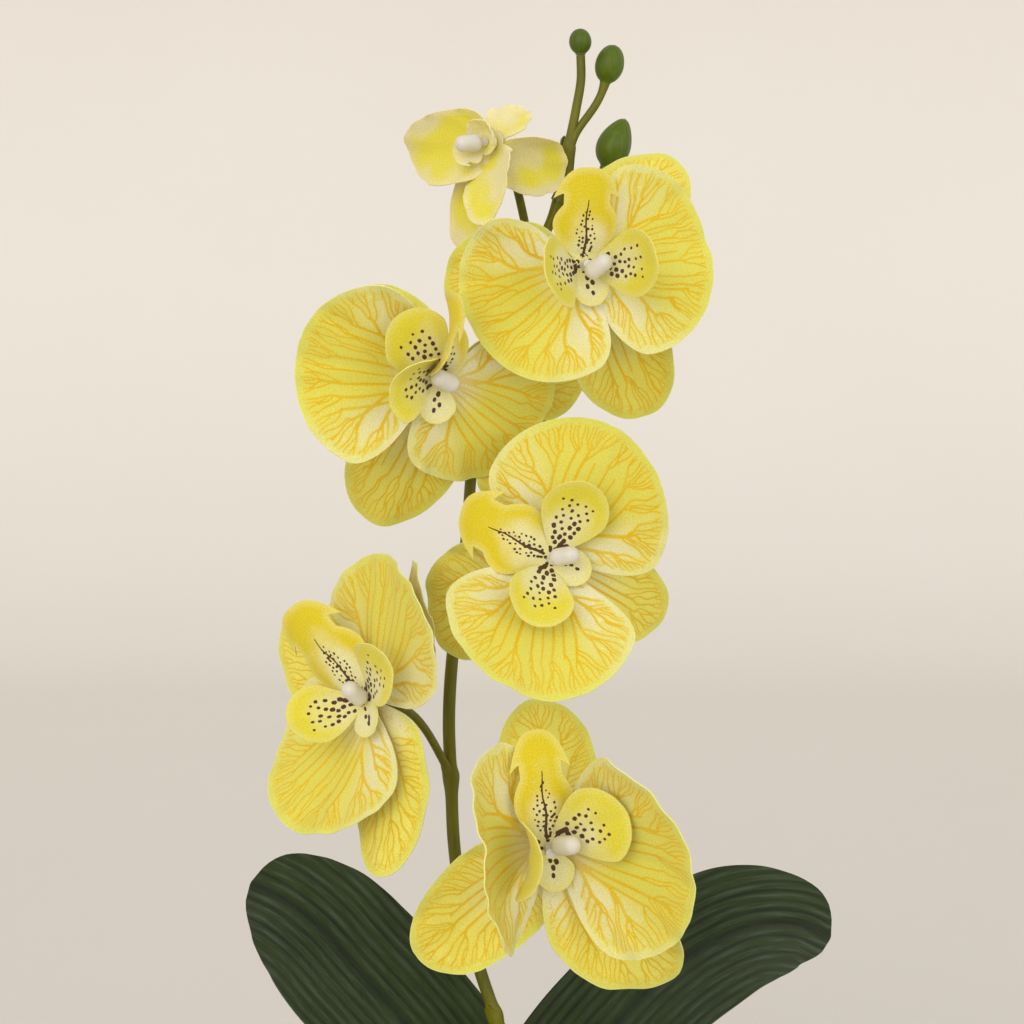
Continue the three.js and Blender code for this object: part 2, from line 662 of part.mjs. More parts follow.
const potSlope = (POT_TOP_RADIUS - POT_FOOT_RADIUS) / POT_HEIGHT;
const potOuter = (z) => POT_FOOT_RADIUS + potSlope * z;
const potInner = (z) => potOuter(z) - POT_WALL;

function pot() {
  const shoulder = POT_HEIGHT - RIM_ROUND;
  const profile = [
    [0, 0], [POT_FOOT_RADIUS - 1.5, 0], [potOuter(1.5), 1.5], [potOuter(shoulder), shoulder],
    [POT_TOP_RADIUS - RIM_ROUND, POT_HEIGHT], [potInner(shoulder), shoulder],
    [potInner(POT_FLOOR), POT_FLOOR], [0, POT_FLOOR],
  ].map((p) => new THREE.Vector2(...p));
  return new THREE.LatheGeometry(profile, 40).rotateX(Math.PI / 2);
}

// Height of the bark: each chip is a tilted plane over the cell round its own middle.
function chipHeight(x, y) {
  const hash = (a, b) => {
    const s = Math.sin(a * 127.1 + b * 311.7) * 43758.5453;
    return s - Math.floor(s);
  };
  let [nearest, height] = [Infinity, 0];
  for (let a = Math.round(x / CHIP_SIZE) - 1; a <= Math.round(x / CHIP_SIZE) + 1; a++) {
    for (let b = Math.round(y / CHIP_SIZE) - 1; b <= Math.round(y / CHIP_SIZE) + 1; b++) {
      const dx = x - (a + hash(a, b) - 0.5) * CHIP_SIZE;
      const dy = y - (b + hash(b, a + 7) - 0.5) * CHIP_SIZE;
      const distance = Math.hypot(dx, dy);
      if (distance < nearest) {
        nearest = distance;
        const tilt = 0.45 * (hash(a + 3, b) - 0.5) * dx + 0.45 * (hash(a, b + 3) - 0.5) * dy;
        height = (hash(a + 11, b + 5) - 0.5) * 2 * BARK_RELIEF + tilt;
      }
    }
  }
  return Math.min(BARK_RELIEF, Math.max(-BARK_RELIEF, height));
}

function bark() {
  const [rings, sectors] = [8, 30];
  const edgeTop = potInner(BARK_TOP) - SEAT_GAP;
  const bottom = POT_FLOOR + SEAT_GAP;
  const edgeBottom = potInner(bottom) - SEAT_GAP;
  const positions = [0, 0, BARK_TOP];
  for (let r = 1; r <= rings; r++) {
    for (let s = 0; s < sectors; s++) {
      const turn = (2 * Math.PI * (s + 0.5 * (r % 2))) / sectors;
      const radius = (edgeTop * r) / rings;
      const [x, y] = [radius * Math.cos(turn), radius * Math.sin(turn)];
      positions.push(x, y, BARK_TOP + (r < rings ? chipHeight(x, y) : 0));
    }
  }
  for (let s = 0; s < sectors; s++) {
    const turn = (2 * Math.PI * (s + 0.5 * (rings % 2))) / sectors;
    positions.push(edgeBottom * Math.cos(turn), edgeBottom * Math.sin(turn), bottom);
  }
  positions.push(0, 0, bottom);
  const at = (r, s) => 1 + (r - 1) * sectors + (s % sectors);
  const last = positions.length / 3 - 1;
  const index = [];
  for (let s = 0; s < sectors; s++) {
    index.push(0, at(1, s), at(1, s + 1));
    for (let r = 1; r <= rings; r++) {
      const skew = r < rings ? r % 2 : 2;
      const [a, b, c, d] = [at(r, s), at(r, s + 1), at(r + 1, s), at(r + 1, s + 1)];
      if (skew === 1) index.push(a, d, b, a, c, d);
      else index.push(a, c, b, b, c, d);
    }
    index.push(last, at(rings + 1, s + 1), at(rings + 1, s));
  }
  const spikeHole = tube(
    new THREE.CatmullRomCurve3([...SPIKE_PATH.slice(0, 3)]),
    10,
    8,
    () => SPIKE_RADIUS * 1.09 + SEAT_GAP,
  );
  const below = v3(0, 0, -SEAT_GAP);
  const holes = [spikeHole.translate(...below.toArray()), ...LEAVES.map(leafHole)];
  return cut(meshed(positions, index), holes);
}

orchid.add(piece('potting_bark', bark(), FINISH.bark));
orchid.add(piece('pot', pot(), FINISH.glaze));

export default orchid;
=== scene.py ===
"""A potted moth orchid of printed fabric and moulded plastic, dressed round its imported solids.

Lengths in the tables are millimetres, in the frame of the solids: the pot's underside is at
Z = 0 and the blooms face -Y. Every piece's mesh is built in that frame and then put in metres.
"""

import math

import bmesh
import bpy
import numpy as np
from bpy.props import (
    FloatProperty, FloatVectorProperty, IntProperty, PointerProperty,
)
from mathutils import Matrix, Vector
from mathutils.geometry import delaunay_2d_cdt


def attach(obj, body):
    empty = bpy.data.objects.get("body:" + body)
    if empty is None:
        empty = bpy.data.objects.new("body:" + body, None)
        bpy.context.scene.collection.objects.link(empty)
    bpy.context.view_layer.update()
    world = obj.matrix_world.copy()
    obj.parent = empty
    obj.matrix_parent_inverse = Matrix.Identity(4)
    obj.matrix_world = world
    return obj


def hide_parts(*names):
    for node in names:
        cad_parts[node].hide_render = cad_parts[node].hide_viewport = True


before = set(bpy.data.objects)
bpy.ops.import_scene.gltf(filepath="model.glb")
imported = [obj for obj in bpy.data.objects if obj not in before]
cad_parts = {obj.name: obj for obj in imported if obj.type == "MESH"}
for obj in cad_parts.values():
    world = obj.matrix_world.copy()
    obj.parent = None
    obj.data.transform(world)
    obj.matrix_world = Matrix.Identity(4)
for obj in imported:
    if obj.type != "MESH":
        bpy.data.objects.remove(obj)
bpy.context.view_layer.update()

bl_info = {
    "name": "Potted orchid",
    "version": (1, 0, 0),
    "blender": (4, 5, 0),
    "location": "View3D > Sidebar > Orchid",
    "description": "Builds the blooms, buds, spike, leaves, pot and bark of a potted orchid",
    "category": "Add Mesh",
}

MM = 0.001

# ---------------------------------------------------------------------------
# Sizes, the same as those of the solids, in millimetres and degrees
# ---------------------------------------------------------------------------

POT_HEIGHT = 92
POT_TOP_RADIUS = 57
POT_FOOT_RADIUS = 41
POT_WALL = 4.5
POT_FLOOR = 6
RIM_ROUND = 2.2
BARK_TOP = 82

HUB_RADIUS = 4.2
LOBE_START = 2.4
LEVEL = 3.4
SEPALS_BELOW = 1.3
LIP_ABOVE = 3.5
ROUND_FROM = 0.8
ROUND_BY = 0.6

LEAF_FOOT_WIDTH = 13
LEAF_FOOT_DEPTH = 62
LEAF_BEND_FROM = 90

SPIKE_RADIUS = 2.1
SPIKE_TIP_RADIUS = 1.45
SPIKE_FOOT = 30
NODE_SWELL = 0.8
STALK_RADIUS = 1.4
CUP_RADIUS = 2.9
CUP_LENGTH = 4
BUD_FOOT_RADIUS = 1.7
COLUMN_RADIUS = 2.8
COLUMN_LENGTH = 9.6
COLUMN_FOOT_RADIUS = 1.6

BOSS_RADIUS = 2.6
BOSS_DEPTH = 2.7

LEAF_RIBS = 1.9  # radians across a leaf per millimetre, so its ribs stand 3.3 mm apart

BED_RADIUS = 45.5
BED_STEP = 2.5
BED_CLEARING = 5.5
SPIKE_IN_BED = (1.9, 1.6)

# How far from a print and from a cut edge a point still tells its distance to them.
INK_REACH = 3.0
EDGE_REACH = 6.0

# Half the width of the finest and the stoutest printed veins, and the step they are drawn in.
PETAL_VEINS = (0.2, 0.46)
SEPAL_VEINS = (0.2, 0.34)
VEIN_STEP = 0.7

CREASE = 40  # degrees, the least angle between two faces that is drawn sharp

# A lobe points at so many degrees round its bloom's middle. It is cut from an oval that reaches
# its length beyond the middle and a share of it, foot, behind; half is half the oval's width,
# and its sides fan out from the middle. It stays level for a little, then it is tilted, curls
# along its length, is cupped across, and twists, which comes early where soon is under 1. Its
# edge has so many waves of a wave's height. Trim rounds its left side off sooner.
PLAIN = dict(twist=0, soon=1, wave=0, waves=3, level=LEVEL, trim=0)
SEPAL = dict(length=53, half=17, fan=56, foot=0.12, cup=14, tilt=-10, curl=-14)
PETAL = dict(length=44, half=30, fan=75, foot=0.25, cup=14, tilt=6, curl=-10, wave=1)
LIP_LONG = dict(length=32, half=11, fan=58, foot=0.02, cup=-15, tilt=20, curl=-45)
LIP_SIDE = dict(length=28, half=11, fan=42, foot=-0.2, cup=20, tilt=40, curl=15)
LIP_SHORT = dict(length=13, half=6, fan=48, foot=0.12, cup=10, tilt=8, curl=0)

BLOOMS = [
    dict(
        name="bloom_1", middle=(10, -50, 207), face=(5, -5), roll=-166, size=1.1,
        sepals=[
            dict(at=24, length=58, half=18, fan=44, tilt=11, curl=-36, cup=40, twist=21),
            dict(at=161, length=53, half=15, tilt=-48, curl=-16),
            dict(at=-55, length=55, half=16, tilt=-10, curl=-11, twist=6),
        ],
        petals=[
            dict(at=76, length=50, half=31.5, fan=64, tilt=28.5, curl=33, cup=18, twist=17),
            dict(at=-102.5, length=37, half=32, fan=78, tilt=32, curl=68, cup=5, twist=13, level=5,
                 trim=0.35),
        ],
        long=dict(at=173, length=35.5, half=8.5, fan=44, tilt=27, curl=-60, cup=-7, twist=6),
        left=dict(at=113, length=29.5, half=12, fan=36, tilt=44, curl=-20, cup=15, twist=-18),
        right=dict(at=-102, length=25.5, half=12, fan=45, tilt=65, curl=54, cup=-36, twist=-14),
        column=dict(base=(-3.3, -1.5, 9.5), at=99, lean=42),
    ),
    dict(
        name="bloom_2", middle=(-46, -30, 249), face=(-47, 10), roll=-142, size=1.05,
        sepals=[
            dict(at=-17, length=55, half=15.5, fan=60, tilt=-9, curl=29, cup=-17, twist=-11),
            dict(at=-146, length=53, half=18, tilt=-6, curl=12, twist=-5),
            dict(at=121, length=46, half=17, tilt=-8, curl=31, cup=-34, twist=-32, undyed=0.7,
                 fray=0.5),
        ],
        petals=[
            dict(at=124, length=45.5, half=30, tilt=5, curl=16, cup=7, twist=-9),
            dict(at=-67, length=47.5, half=29.5, fan=76, tilt=0, curl=36, cup=2, twist=14),
        ],
        long=dict(at=181, length=36, half=12, fan=54, tilt=35, curl=-9, cup=-35, twist=6),
        left=dict(at=87, length=28, half=10.5, tilt=27, curl=-1, cup=30, twist=27),
        right=dict(at=-90, length=25, half=10.5, tilt=42, curl=29, twist=7),
        column=dict(base=(-2.5, 1, 7.2), at=137, lean=26),
    ),
    dict(
        name="bloom_3", middle=(11, -40, 295.5), face=(5, 0), roll=-114, size=1.02,
        sepals=[
            dict(at=-7, half=15, tilt=-23, curl=-19),
            dict(at=127, length=58, half=17, fan=36, tilt=-44, curl=2, cup=46, twist=-16),
            dict(at=-121, length=54, half=19, tilt=-25, curl=-28, cup=25, twist=25),
        ],
        petals=[
            dict(at=86, length=45.5, half=29.5, fan=77, tilt=16, curl=-5, cup=11, twist=-33),
            dict(at=-80, length=49, half=30, fan=65, tilt=33, curl=8, cup=12, twist=-2),
        ],
        long=dict(at=176, length=33, half=11.5, fan=46, tilt=28, curl=-78, cup=-6, twist=-22),
        left=dict(at=91, length=30, half=10.5, tilt=22, curl=24),
        right=dict(at=-89, length=27.5, tilt=49, curl=-4, cup=33),
        column=dict(base=(-1.5, 1, 9.5), at=37, lean=60),
    ),
    dict(
        name="bloom_4", middle=(-23, -41, 351.5), face=(9, -15), roll=167, size=1.04,
        sepals=[
            dict(at=-5, length=61, half=17.5, tilt=-21, curl=-5, cup=12, twist=6),
            dict(at=93, length=59, half=16, tilt=-27, curl=-8, cup=9),
            dict(at=-110, length=42, half=15, tilt=-38),
        ],
        petals=[
            dict(at=64, length=39, half=26, fan=85, tilt=-7, curl=-18, cup=2, twist=1),
            dict(at=-86, fan=62, tilt=6, curl=-18, cup=38),
        ],
        long=dict(at=192, length=33.5, half=9, fan=50, tilt=46, curl=-49, cup=25, twist=129,
                  soon=0.7),
        left=dict(at=-90, length=23, half=13.5, fan=44, tilt=57, curl=-26, cup=58, twist=-18),
        right=dict(at=-133, length=27, half=11.5, fan=37, tilt=23, curl=-19, cup=40, twist=20),
        column=dict(base=(-1.5, -1, 8), at=-107, lean=72),
    ),
    dict(
        name="bloom_5", middle=(20.5, -47, 386), face=(10, 1), roll=-165, size=0.99,
        sepals=[
            dict(at=14, length=58.5, half=17.5, fan=40, tilt=-18, curl=-14, cup=36, twist=22),
            dict(at=120, length=57.5, half=16, tilt=-24, curl=-8, cup=14, twist=-26),
            dict(at=-100, half=16, tilt=-36, curl=-19, twist=8),
        ],
        petals=[
            dict(at=81, length=43.5, half=30, fan=74, tilt=-4, curl=-10, cup=16, twist=-6),
            dict(at=-67, length=39.5, fan=78, tilt=-6, curl=-8, cup=34, twist=20),
        ],
        long=dict(at=166, length=31, half=10.5, tilt=32, curl=-28, cup=-30),
        left=dict(at=76, length=32, half=10.5, tilt=42, curl=42, cup=7, twist=8),
        right=dict(at=-89, length=28, half=11.5, tilt=50, curl=17),
        column=dict(base=(-1, 2, 10), at=112, lean=60),
    ),
    dict(
        name="bloom_6", middle=(-7, -15, 426.6), face=(-42, 0), roll=0, size=1,
        sepals=[
            dict(at=-133, length=29, half=11, tilt=-57, curl=-29, cup=45, twist=-40),
            dict(at=150, length=38, half=9, tilt=0, curl=-7, cup=12),
            dict(at=-20, length=16, half=9, tilt=-34, curl=-24, cup=13),
        ],
        petals=[
            dict(at=93, length=36, half=13.5, tilt=15, curl=-25, cup=49, twist=-15),
            dict(at=-174, length=28.5, half=9.5, tilt=22, curl=-5, cup=12),
        ],
        long=dict(at=120, length=12, half=5, tilt=46, curl=-10, cup=10),
        left=dict(at=28, length=9, half=4, tilt=40),
        right=dict(at=-64, length=9, half=4, tilt=46),
        short=dict(length=8, half=4, tilt=40),
        column=dict(base=(-1, -0.5, 8), at=120, lean=15),
    ),
]
UNPRINTED = "bloom_6"

BUDS = [
    dict(name="bud_1", foot=(21.4, 0, 456.6), points=(-0.03, 0, 1), length=8.4, radius=3.7,
         taper=0),
    dict(name="bud_2", foot=(29.3, 0, 447.3), points=(0.26, 0, 1), length=12.8, radius=4.8,
         taper=0.05),
    dict(name="bud_3", foot=(29.6, 3, 420.5), points=(0.42, 0, 1), length=17, radius=6.2,
         taper=0.4),
]

SPIKE_PATH = [
    (3, 2, SPIKE_FOOT), (2.5, 2, 70), (-0.3, 0, 101), (-6, 0, 134.4), (-11.7, 0, 152.8),
    (-17.8, 0, 176.7), (-20.4, 0, 196), (-21.3, 0, 217.3), (-22, 0, 237.5), (-20.9, 0, 257.7),
    (-17.9, 0, 281), (-15.6, 0, 304.3), (-14.2, 0, 322), (-10.6, 0, 343), (-3.4, 0, 365),
    (4.3, 0, 386.7), (11.8, 0, 402.7), (17.4, 0, 418), (17.6, 0, 426.4), (19.9, 0, 438.7),
    (21.5, 0, 448.4), (21.4, 0, 456.3),
]
STALKS = [
    dict(start=184, bloom=0),
    dict(start=219, bloom=1),
    dict(start=272, bloom=2),
    dict(start=326, bloom=3),
    dict(start=366, bloom=4),
    dict(start=390, bloom=5, approach=0.15),
    dict(start=426.4, bud=1),
    dict(start=410, bud=2),
]
NODES = [138] + [stalk["start"] for stalk in STALKS]

LEAVES = [
    dict(
        name="leaf_left", foot=(-7, 7), looks=(0.25, -0.9, 0.35), width=53, fold=14,
        rib=[(-12, 9, 101), (-24, 13, 113), (-38, 19, 129), (-56, 26, 147), (-69, 32, 159.5),
             (-82, 36, 168.5), (-93, 39, 173)],
    ),
    dict(
        name="leaf_right", foot=(9, 7), looks=(-0.15, -0.8, 0.58), width=50, fold=16,
        rib=[(13, 9, 101), (22, 13, 114), (36, 20, 129), (50, 26, 142), (67, 31, 153),
             (83, 34, 159), (99, 36, 159), (111, 37, 154)],
    ),
    dict(
        name="leaf_low_left", foot=(-7, -7), looks=(0.1, -0.15, 1), width=44, fold=18,
        rib=[(-14, -9, 100), (-28, -14, 106), (-45, -19, 109), (-63, -24, 109), (-80, -28, 105),
             (-92, -31, 99)],
    ),
    dict(
        name="leaf_low_right", foot=(9, -7), looks=(-0.1, -0.1, 1), width=42, fold=18,
        rib=[(15, -9, 99), (28, -13, 104), (44, -18, 107), (60, -23, 107), (75, -28, 103),
             (86, -31, 97)],
    ),
]

# The photo's camera: what it looks at and from how far, in metres, how many degrees from above,
# and its lens and sensor in millimetres.
CAMERA_TARGET = (-0.001, 0, 0.307)
CAMERA_DISTANCE = 0.732
CAMERA_ELEVATION = 4
CAMERA_LENS = 77.77
SENSOR_WIDTH = 36
LIGHTS_TARGET = (0, 0, 0.27)


# ---------------------------------------------------------------------------
# Colours and settings
# ---------------------------------------------------------------------------

def linear(code):
    """An sRGB hex colour as linear red, green, blue and alpha."""
    channels = [int(code[k:k + 2], 16) / 255 for k in (1, 3, 5)]
    return tuple(c / 12.92 if c <= 0.04045 else ((c + 0.055) / 1.055) ** 2.4
                 for c in channels) + (1.0,)


def colour(name, description, code):
    """A colour setting, with its default as a hex code."""
    return FloatVectorProperty(name=name, description=description, subtype="COLOR", size=4,
                               min=0, max=1, default=linear(code))


class OrchidBlooms(bpy.types.PropertyGroup):
    sheet: FloatProperty(
        name="Sheet", description="Thickness of the petals' stiffened fabric",
        default=0.38 * MM, min=0.2 * MM, max=0.7 * MM, subtype="DISTANCE", unit="LENGTH")
    ripple: FloatProperty(
        name="Ripple", description="Height of the small waves at the lobes' edges",
        default=0.35 * MM, min=0, max=2 * MM, subtype="DISTANCE", unit="LENGTH")
    lemon: colour("Lemon", "Petals, in the middle", "#e3dc60")
    rim: colour("Rim", "Petals, towards their edge", "#e1de64")
    pale: colour("Pale", "Petals, near the middle of the bloom", "#ede7bb")
    # Painted light: the sepals' lemon is set paler than the petals' to offset the shade that the
    # petals cast on them.
    sepal: colour("Sepal", "The three sepals behind", "#efe66c")
    vein: colour("Vein", "Printed veins", "#e5be18")
    lip: colour("Lip", "The end of the lip's long lobe", "#e0cb22")
    dots: colour("Dots", "Printed dots and lines of the lip", "#461a16")
    column: colour("Column", "The white column in the middle", "#dddbd4")


class OrchidPlant(bpy.types.PropertyGroup):
    leaf: colour("Leaf", "Upper side of the leaves", "#293d0a")
    leaf_light: colour("Leaf sheen", "Paler bands of the leaves", "#38491f")
    stem: colour("Stem", "Spike and stalks", "#706e04")
    bud: colour("Bud", "Buds", "#536800")
    leaf_sheet: FloatProperty(
        name="Leaf sheet", description="Thickness of a leaf", default=0.9 * MM, min=0.3 * MM,
        max=1.2 * MM, subtype="DISTANCE", unit="LENGTH")


class OrchidPot(bpy.types.PropertyGroup):
    glaze: colour("Glaze", "Outside of the pot", "#ece8df")
    bark: colour("Bark", "Bark chips, the darker ones", "#4a3222")
    bark_light: colour("Light bark", "Bark chips, the paler ones", "#8d6647")
    chip: FloatProperty(
        name="Chip", description="Length of a bark chip", default=11 * MM, min=4 * MM,
        max=20 * MM, subtype="DISTANCE", unit="LENGTH")
    spacing: FloatProperty(
        name="Spacing", description="Least distance between the middles of two chips",
        default=5.2 * MM, min=3 * MM, max=20 * MM, subtype="DISTANCE", unit="LENGTH")
    seed: IntProperty(name="Seed", description="Which draw of chips", default=4, min=0)


class OrchidStage(bpy.types.PropertyGroup):
    floor: colour("Floor", "Floor and the air round it", "#dcd8d2")
    key: FloatProperty(name="Key light", description="Watts per square metre of the main light",
                       default=1.0, min=0)
    fill: FloatProperty(name="Fill light", description="Watts per square metre of the others",
                        default=0.85, min=0)


# ---------------------------------------------------------------------------
# Meshes
# ---------------------------------------------------------------------------

def merged(parts):
    """Several (points, faces, extras) meshes as one; extras are per-point arrays by name."""
    points, faces, extras, start = [], [], {}, 0
    for part_points, part_faces, part_extras in parts:
        points.append(part_points)
        faces += [tuple(start + k for k in face) for face in part_faces]
        for name, values in part_extras.items():
            extras.setdefault(name, []).append((start, values))
        start += len(part_points)
    points = np.concatenate(points)
    joined = {}
    for name, chunks in extras.items():
        width = np.asarray(chunks[0][1]).ndim
        values = np.zeros((len(points), 2) if width == 2 else len(points), np.float32)
        for first, chunk in chunks:
            values[first:first + len(chunk)] = chunk
        joined[name] = values
    return points, faces, joined


def make_piece(name, mesh_data, material, replaces):
    """A mesh object from points in millimetres, with pairs as UV maps and single values as
    attributes, that stands for CAD nodes and moves with the plant."""
    points, faces, extras = mesh_data
    mesh = bpy.data.meshes.new(name)
    mesh.from_pydata([tuple(p) for p in points * MM], [], faces)
    corner_points = np.zeros(len(mesh.loops), np.int32)
    mesh.loops.foreach_get("vertex_index", corner_points)
    for key, values in extras.items():
        if values.ndim == 2:
            layer = mesh.uv_layers.new(name=key)
            layer.data.foreach_set("uv", values[corner_points].ravel().astype(np.float32))
        else:
            layer = mesh.attributes.new(key, "FLOAT", "POINT")
            layer.data.foreach_set("value", values.astype(np.float32))
    mesh.validate()
    mesh.shade_smooth()
    mesh.set_sharp_from_angle(angle=math.radians(CREASE))
    obj = bpy.data.objects.new(name, mesh)
    bpy.context.scene.collection.objects.link(obj)
    obj.data.materials.append(material)
    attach(obj, "root")
    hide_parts(*replaces)
    return obj


def grid_shell(surface, columns, rows, thickness, extras):
    """A closed thin sheet about a surface. The surface gives points for arrays of u and v from
    0 to 1; extras gives the per-point values for the same arrays."""
    u, v = np.meshgrid(np.linspace(0, 1, columns + 1), np.linspace(0, 1, rows + 1))
    u, v = u.ravel(), v.ravel()
    step = 1e-3
    centre = surface(u, v)
    along_u = surface(u + step, v) - surface(u - step, v)
    along_v = surface(u, v + step) - surface(u, v - step)
    normal = np.cross(along_u, along_v)
    normal /= np.maximum(np.linalg.norm(normal, axis=1, keepdims=True), 1e-9)
    points = np.concatenate([centre + normal * thickness / 2, centre - normal * thickness / 2])
    under = len(centre)
    at = lambda i, j: j * (columns + 1) + i
    faces = []
    for j in range(rows):
        for i in range(columns):
            a, b, c, d = at(i, j), at(i + 1, j), at(i + 1, j + 1), at(i, j + 1)
            faces.append((a, b, c, d))
            faces.append((under + a, under + d, under + c, under + b))
    edge = [at(i, 0) for i in range(columns)] + [at(columns, j) for j in range(rows)]
    edge += [at(i, rows) for i in range(columns, 0, -1)] + [at(0, j) for j in range(rows, 0, -1)]
    for k, p in enumerate(edge):
        q = edge[(k + 1) % len(edge)]
        faces.append((p, under + p, under + q, q))
    values = {key: np.concatenate([value, value]) for key, value in extras(u, v).items()}
    return points, faces, values


def tube_shell(path, radii, sides):
    """A round tube along a polyline, with a radius at each point, closed at both ends."""
    path = np.asarray(path, float)
    tangents = np.gradient(path, axis=0)
    tangents /= np.linalg.norm(tangents, axis=1, keepdims=True)
    side = np.cross(tangents[0], (0, 1, 0))
    side /= np.linalg.norm(side)
    turn = np.linspace(0, 2 * math.pi, sides, endpoint=False)
    lengths = np.concatenate([[0], np.cumsum(np.linalg.norm(np.diff(path, axis=0), axis=1))])
    points, cut = [], []
    for centre, tangent, radius, length in zip(path, tangents, radii, lengths):
        side = side - tangent * np.dot(side, tangent)
        side /= np.linalg.norm(side)
        other = np.cross(tangent, side)
        ring = np.outer(np.cos(turn), side) + np.outer(np.sin(turn), other)
        points.append(centre + ring * (radius if np.ndim(radius) == 0 else radius[:, None]))
        cut.append(np.stack([turn / (2 * math.pi), np.full(sides, length / 10)], axis=1))
    points, cut = np.concatenate(points), np.concatenate(cut)
    rings = len(path)
    faces = []
    for k in range(rings - 1):
        for s in range(sides):
            a, b = k * sides + s, k * sides + (s + 1) % sides
            faces.append((a, b, b + sides, a + sides))
    faces.append(tuple(range(sides - 1, -1, -1)))
    faces.append(tuple((rings - 1) * sides + s for s in range(sides)))
    return points, faces, {"cut": cut}


def turned(profile, sides):
    """A closed body of revolution about Z from (radius, height) pairs that start and end on
    the axis. Its cut map is (turn, length along the profile) in centimetres."""
    profile = np.asarray(profile, float)
    turn = np.linspace(0, 2 * math.pi, sides, endpoint=False)
    lengths = np.concatenate([[0], np.cumsum(np.linalg.norm(np.diff(profile, axis=0), axis=1))])
    points = [np.array([[0, 0, profile[0][1]]])]
    for radius, height in profile[1:-1]:
        points.append(np.stack([radius * np.cos(turn), radius * np.sin(turn),
                                np.full(sides, height)], axis=1))
    points.append(np.array([[0, 0, profile[-1][1]]]))
    points = np.concatenate(points)
    rings = len(profile) - 2
    last = len(points) - 1
    faces = []
    for s in range(sides):
        t = (s + 1) % sides
        faces.append((0, 1 + t, 1 + s))
        for k in range(rings - 1):
            a, b = 1 + k * sides + s, 1 + k * sides + t
            faces.append((a, b, b + sides, a + sides))
        faces.append((last, 1 + (rings - 1) * sides + s, 1 + (rings - 1) * sides + t))
    cut = np.zeros((len(points), 2))
    cut[1:last, 0] = np.tile(turn / (2 * math.pi), rings)
    cut[1:last, 1] = np.repeat(lengths[1:-1] / 10, sides)
    cut[last, 1] = lengths[-1] / 10
    return points, faces, {"cut": cut}


# ---------------------------------------------------------------------------
# Curves
# ---------------------------------------------------------------------------

def smooth_line(points, per_span=24):
    """A centripetal Catmull-Rom curve through points, as a dense polyline."""
    p = [np.asarray(q, float) for q in points]
    p = [2 * p[0] - p[1]] + p + [2 * p[-1] - p[-2]]
    line = []
    for a, b, c, d in zip(p, p[1:], p[2:], p[3:]):
        ta, tb = 0, np.linalg.norm(b - a) ** 0.5
        tc = tb + np.linalg.norm(c - b) ** 0.5
        td = tc + np.linalg.norm(d - c) ** 0.5
        for t in np.linspace(tb, tc, per_span, endpoint=False):
            ab = (tb - t) / (tb - ta) * a + (t - ta) / (tb - ta) * b
            bc = (tc - t) / (tc - tb) * b + (t - tb) / (tc - tb) * c
            cd = (td - t) / (td - tc) * c + (t - tc) / (td - tc) * d
            abc = (tc - t) / (tc - ta) * ab + (t - ta) / (tc - ta) * bc
            bcd = (td - t) / (td - tb) * bc + (t - tb) / (td - tb) * cd
            line.append((tc - t) / (tc - tb) * abc + (t - tb) / (tc - tb) * bcd)
    line.append(p[-2])
    return np.array(line)


def along(line, shares):
    """Points at shares of a polyline's length, and the unit tangents there."""
    lengths = np.concatenate([[0], np.cumsum(np.linalg.norm(np.diff(line, axis=0), axis=1))])
    at = np.clip(shares, 0, 1) * lengths[-1]
    points = np.stack([np.interp(at, lengths, line[:, k]) for k in range(3)], axis=-1)
    slopes = np.gradient(line, axis=0)
    tangents = np.stack([np.interp(at, lengths, slopes[:, k]) for k in range(3)], axis=-1)
    return points, tangents / np.linalg.norm(tangents, axis=-1, keepdims=True)


def bezier(a, b, c, d, steps):
    t = np.linspace(0, 1, steps)[:, None]
    return ((1 - t) ** 3 * a + 3 * (1 - t) ** 2 * t * b + 3 * (1 - t) * t ** 2 * c + t ** 3 * d)


def smoothstep(x, low, high):
    t = np.clip((x - low) / (high - low), 0, 1)
    return t * t * (3 - 2 * t)


# ---------------------------------------------------------------------------
# Blooms
# ---------------------------------------------------------------------------

def whole(basic, own):
    """A lobe's own values over those of its kind and of all lobes."""
    return {**PLAIN, **basic, **own}


def bloom_matrix(spec):
    """Place, turn and size of a bloom: its Z is the way it faces, and its Y its top."""
    right, up = (math.radians(a) for a in spec["face"])
    ahead = Vector((math.sin(right) * math.cos(up), -math.cos(right) * math.cos(up),
                    math.sin(up)))
    top = (Vector((0, 0, 1)) - ahead * ahead.z).normalized()
    side = top.cross(ahead)
    turn = Matrix((side, top, ahead)).transposed().to_4x4()
    return (Matrix.Translation(spec["middle"]) @ turn
            @ Matrix.Rotation(math.radians(spec["roll"]), 4, "Z")
            @ Matrix.Scale(spec["size"], 4))


def placed(points, matrix):
    m = np.array(matrix)
    return points @ m[:3, :3].T + m[:3, 3]


def in_bloom(part, matrix, lift):
    """A mesh made round a bloom's middle, lifted along its axis and put in its place."""
    points, faces, extras = part
    return placed(points + np.array([0, 0, lift]), matrix), faces, extras


def reach(shape, turn):
    """Distance from the axis to the oval that a lobe is cut from, off its midline."""
    long = shape["length"] * (1 + shape["foot"]) / 2
    centre = shape["length"] - long
    c, s = np.cos(turn), np.sin(turn)
    a = (c / long) ** 2 + (s / shape["half"]) ** 2
    b = centre * c / long ** 2
    d = (centre / long) ** 2 - 1
    return (b + np.sqrt(np.maximum(0, b * b - a * d))) / a


def widest(shape):
    """How far a lobe's sides turn out: no further than where they touch the oval."""
    long = shape["length"] * (1 + shape["foot"]) / 2
    centre = shape["length"] - long
    if centre <= long:
        return math.radians(shape["fan"])
    touch = 0.99 * math.atan(shape["half"] / math.sqrt(centre ** 2 - long ** 2))
    return min(math.radians(shape["fan"]), touch)


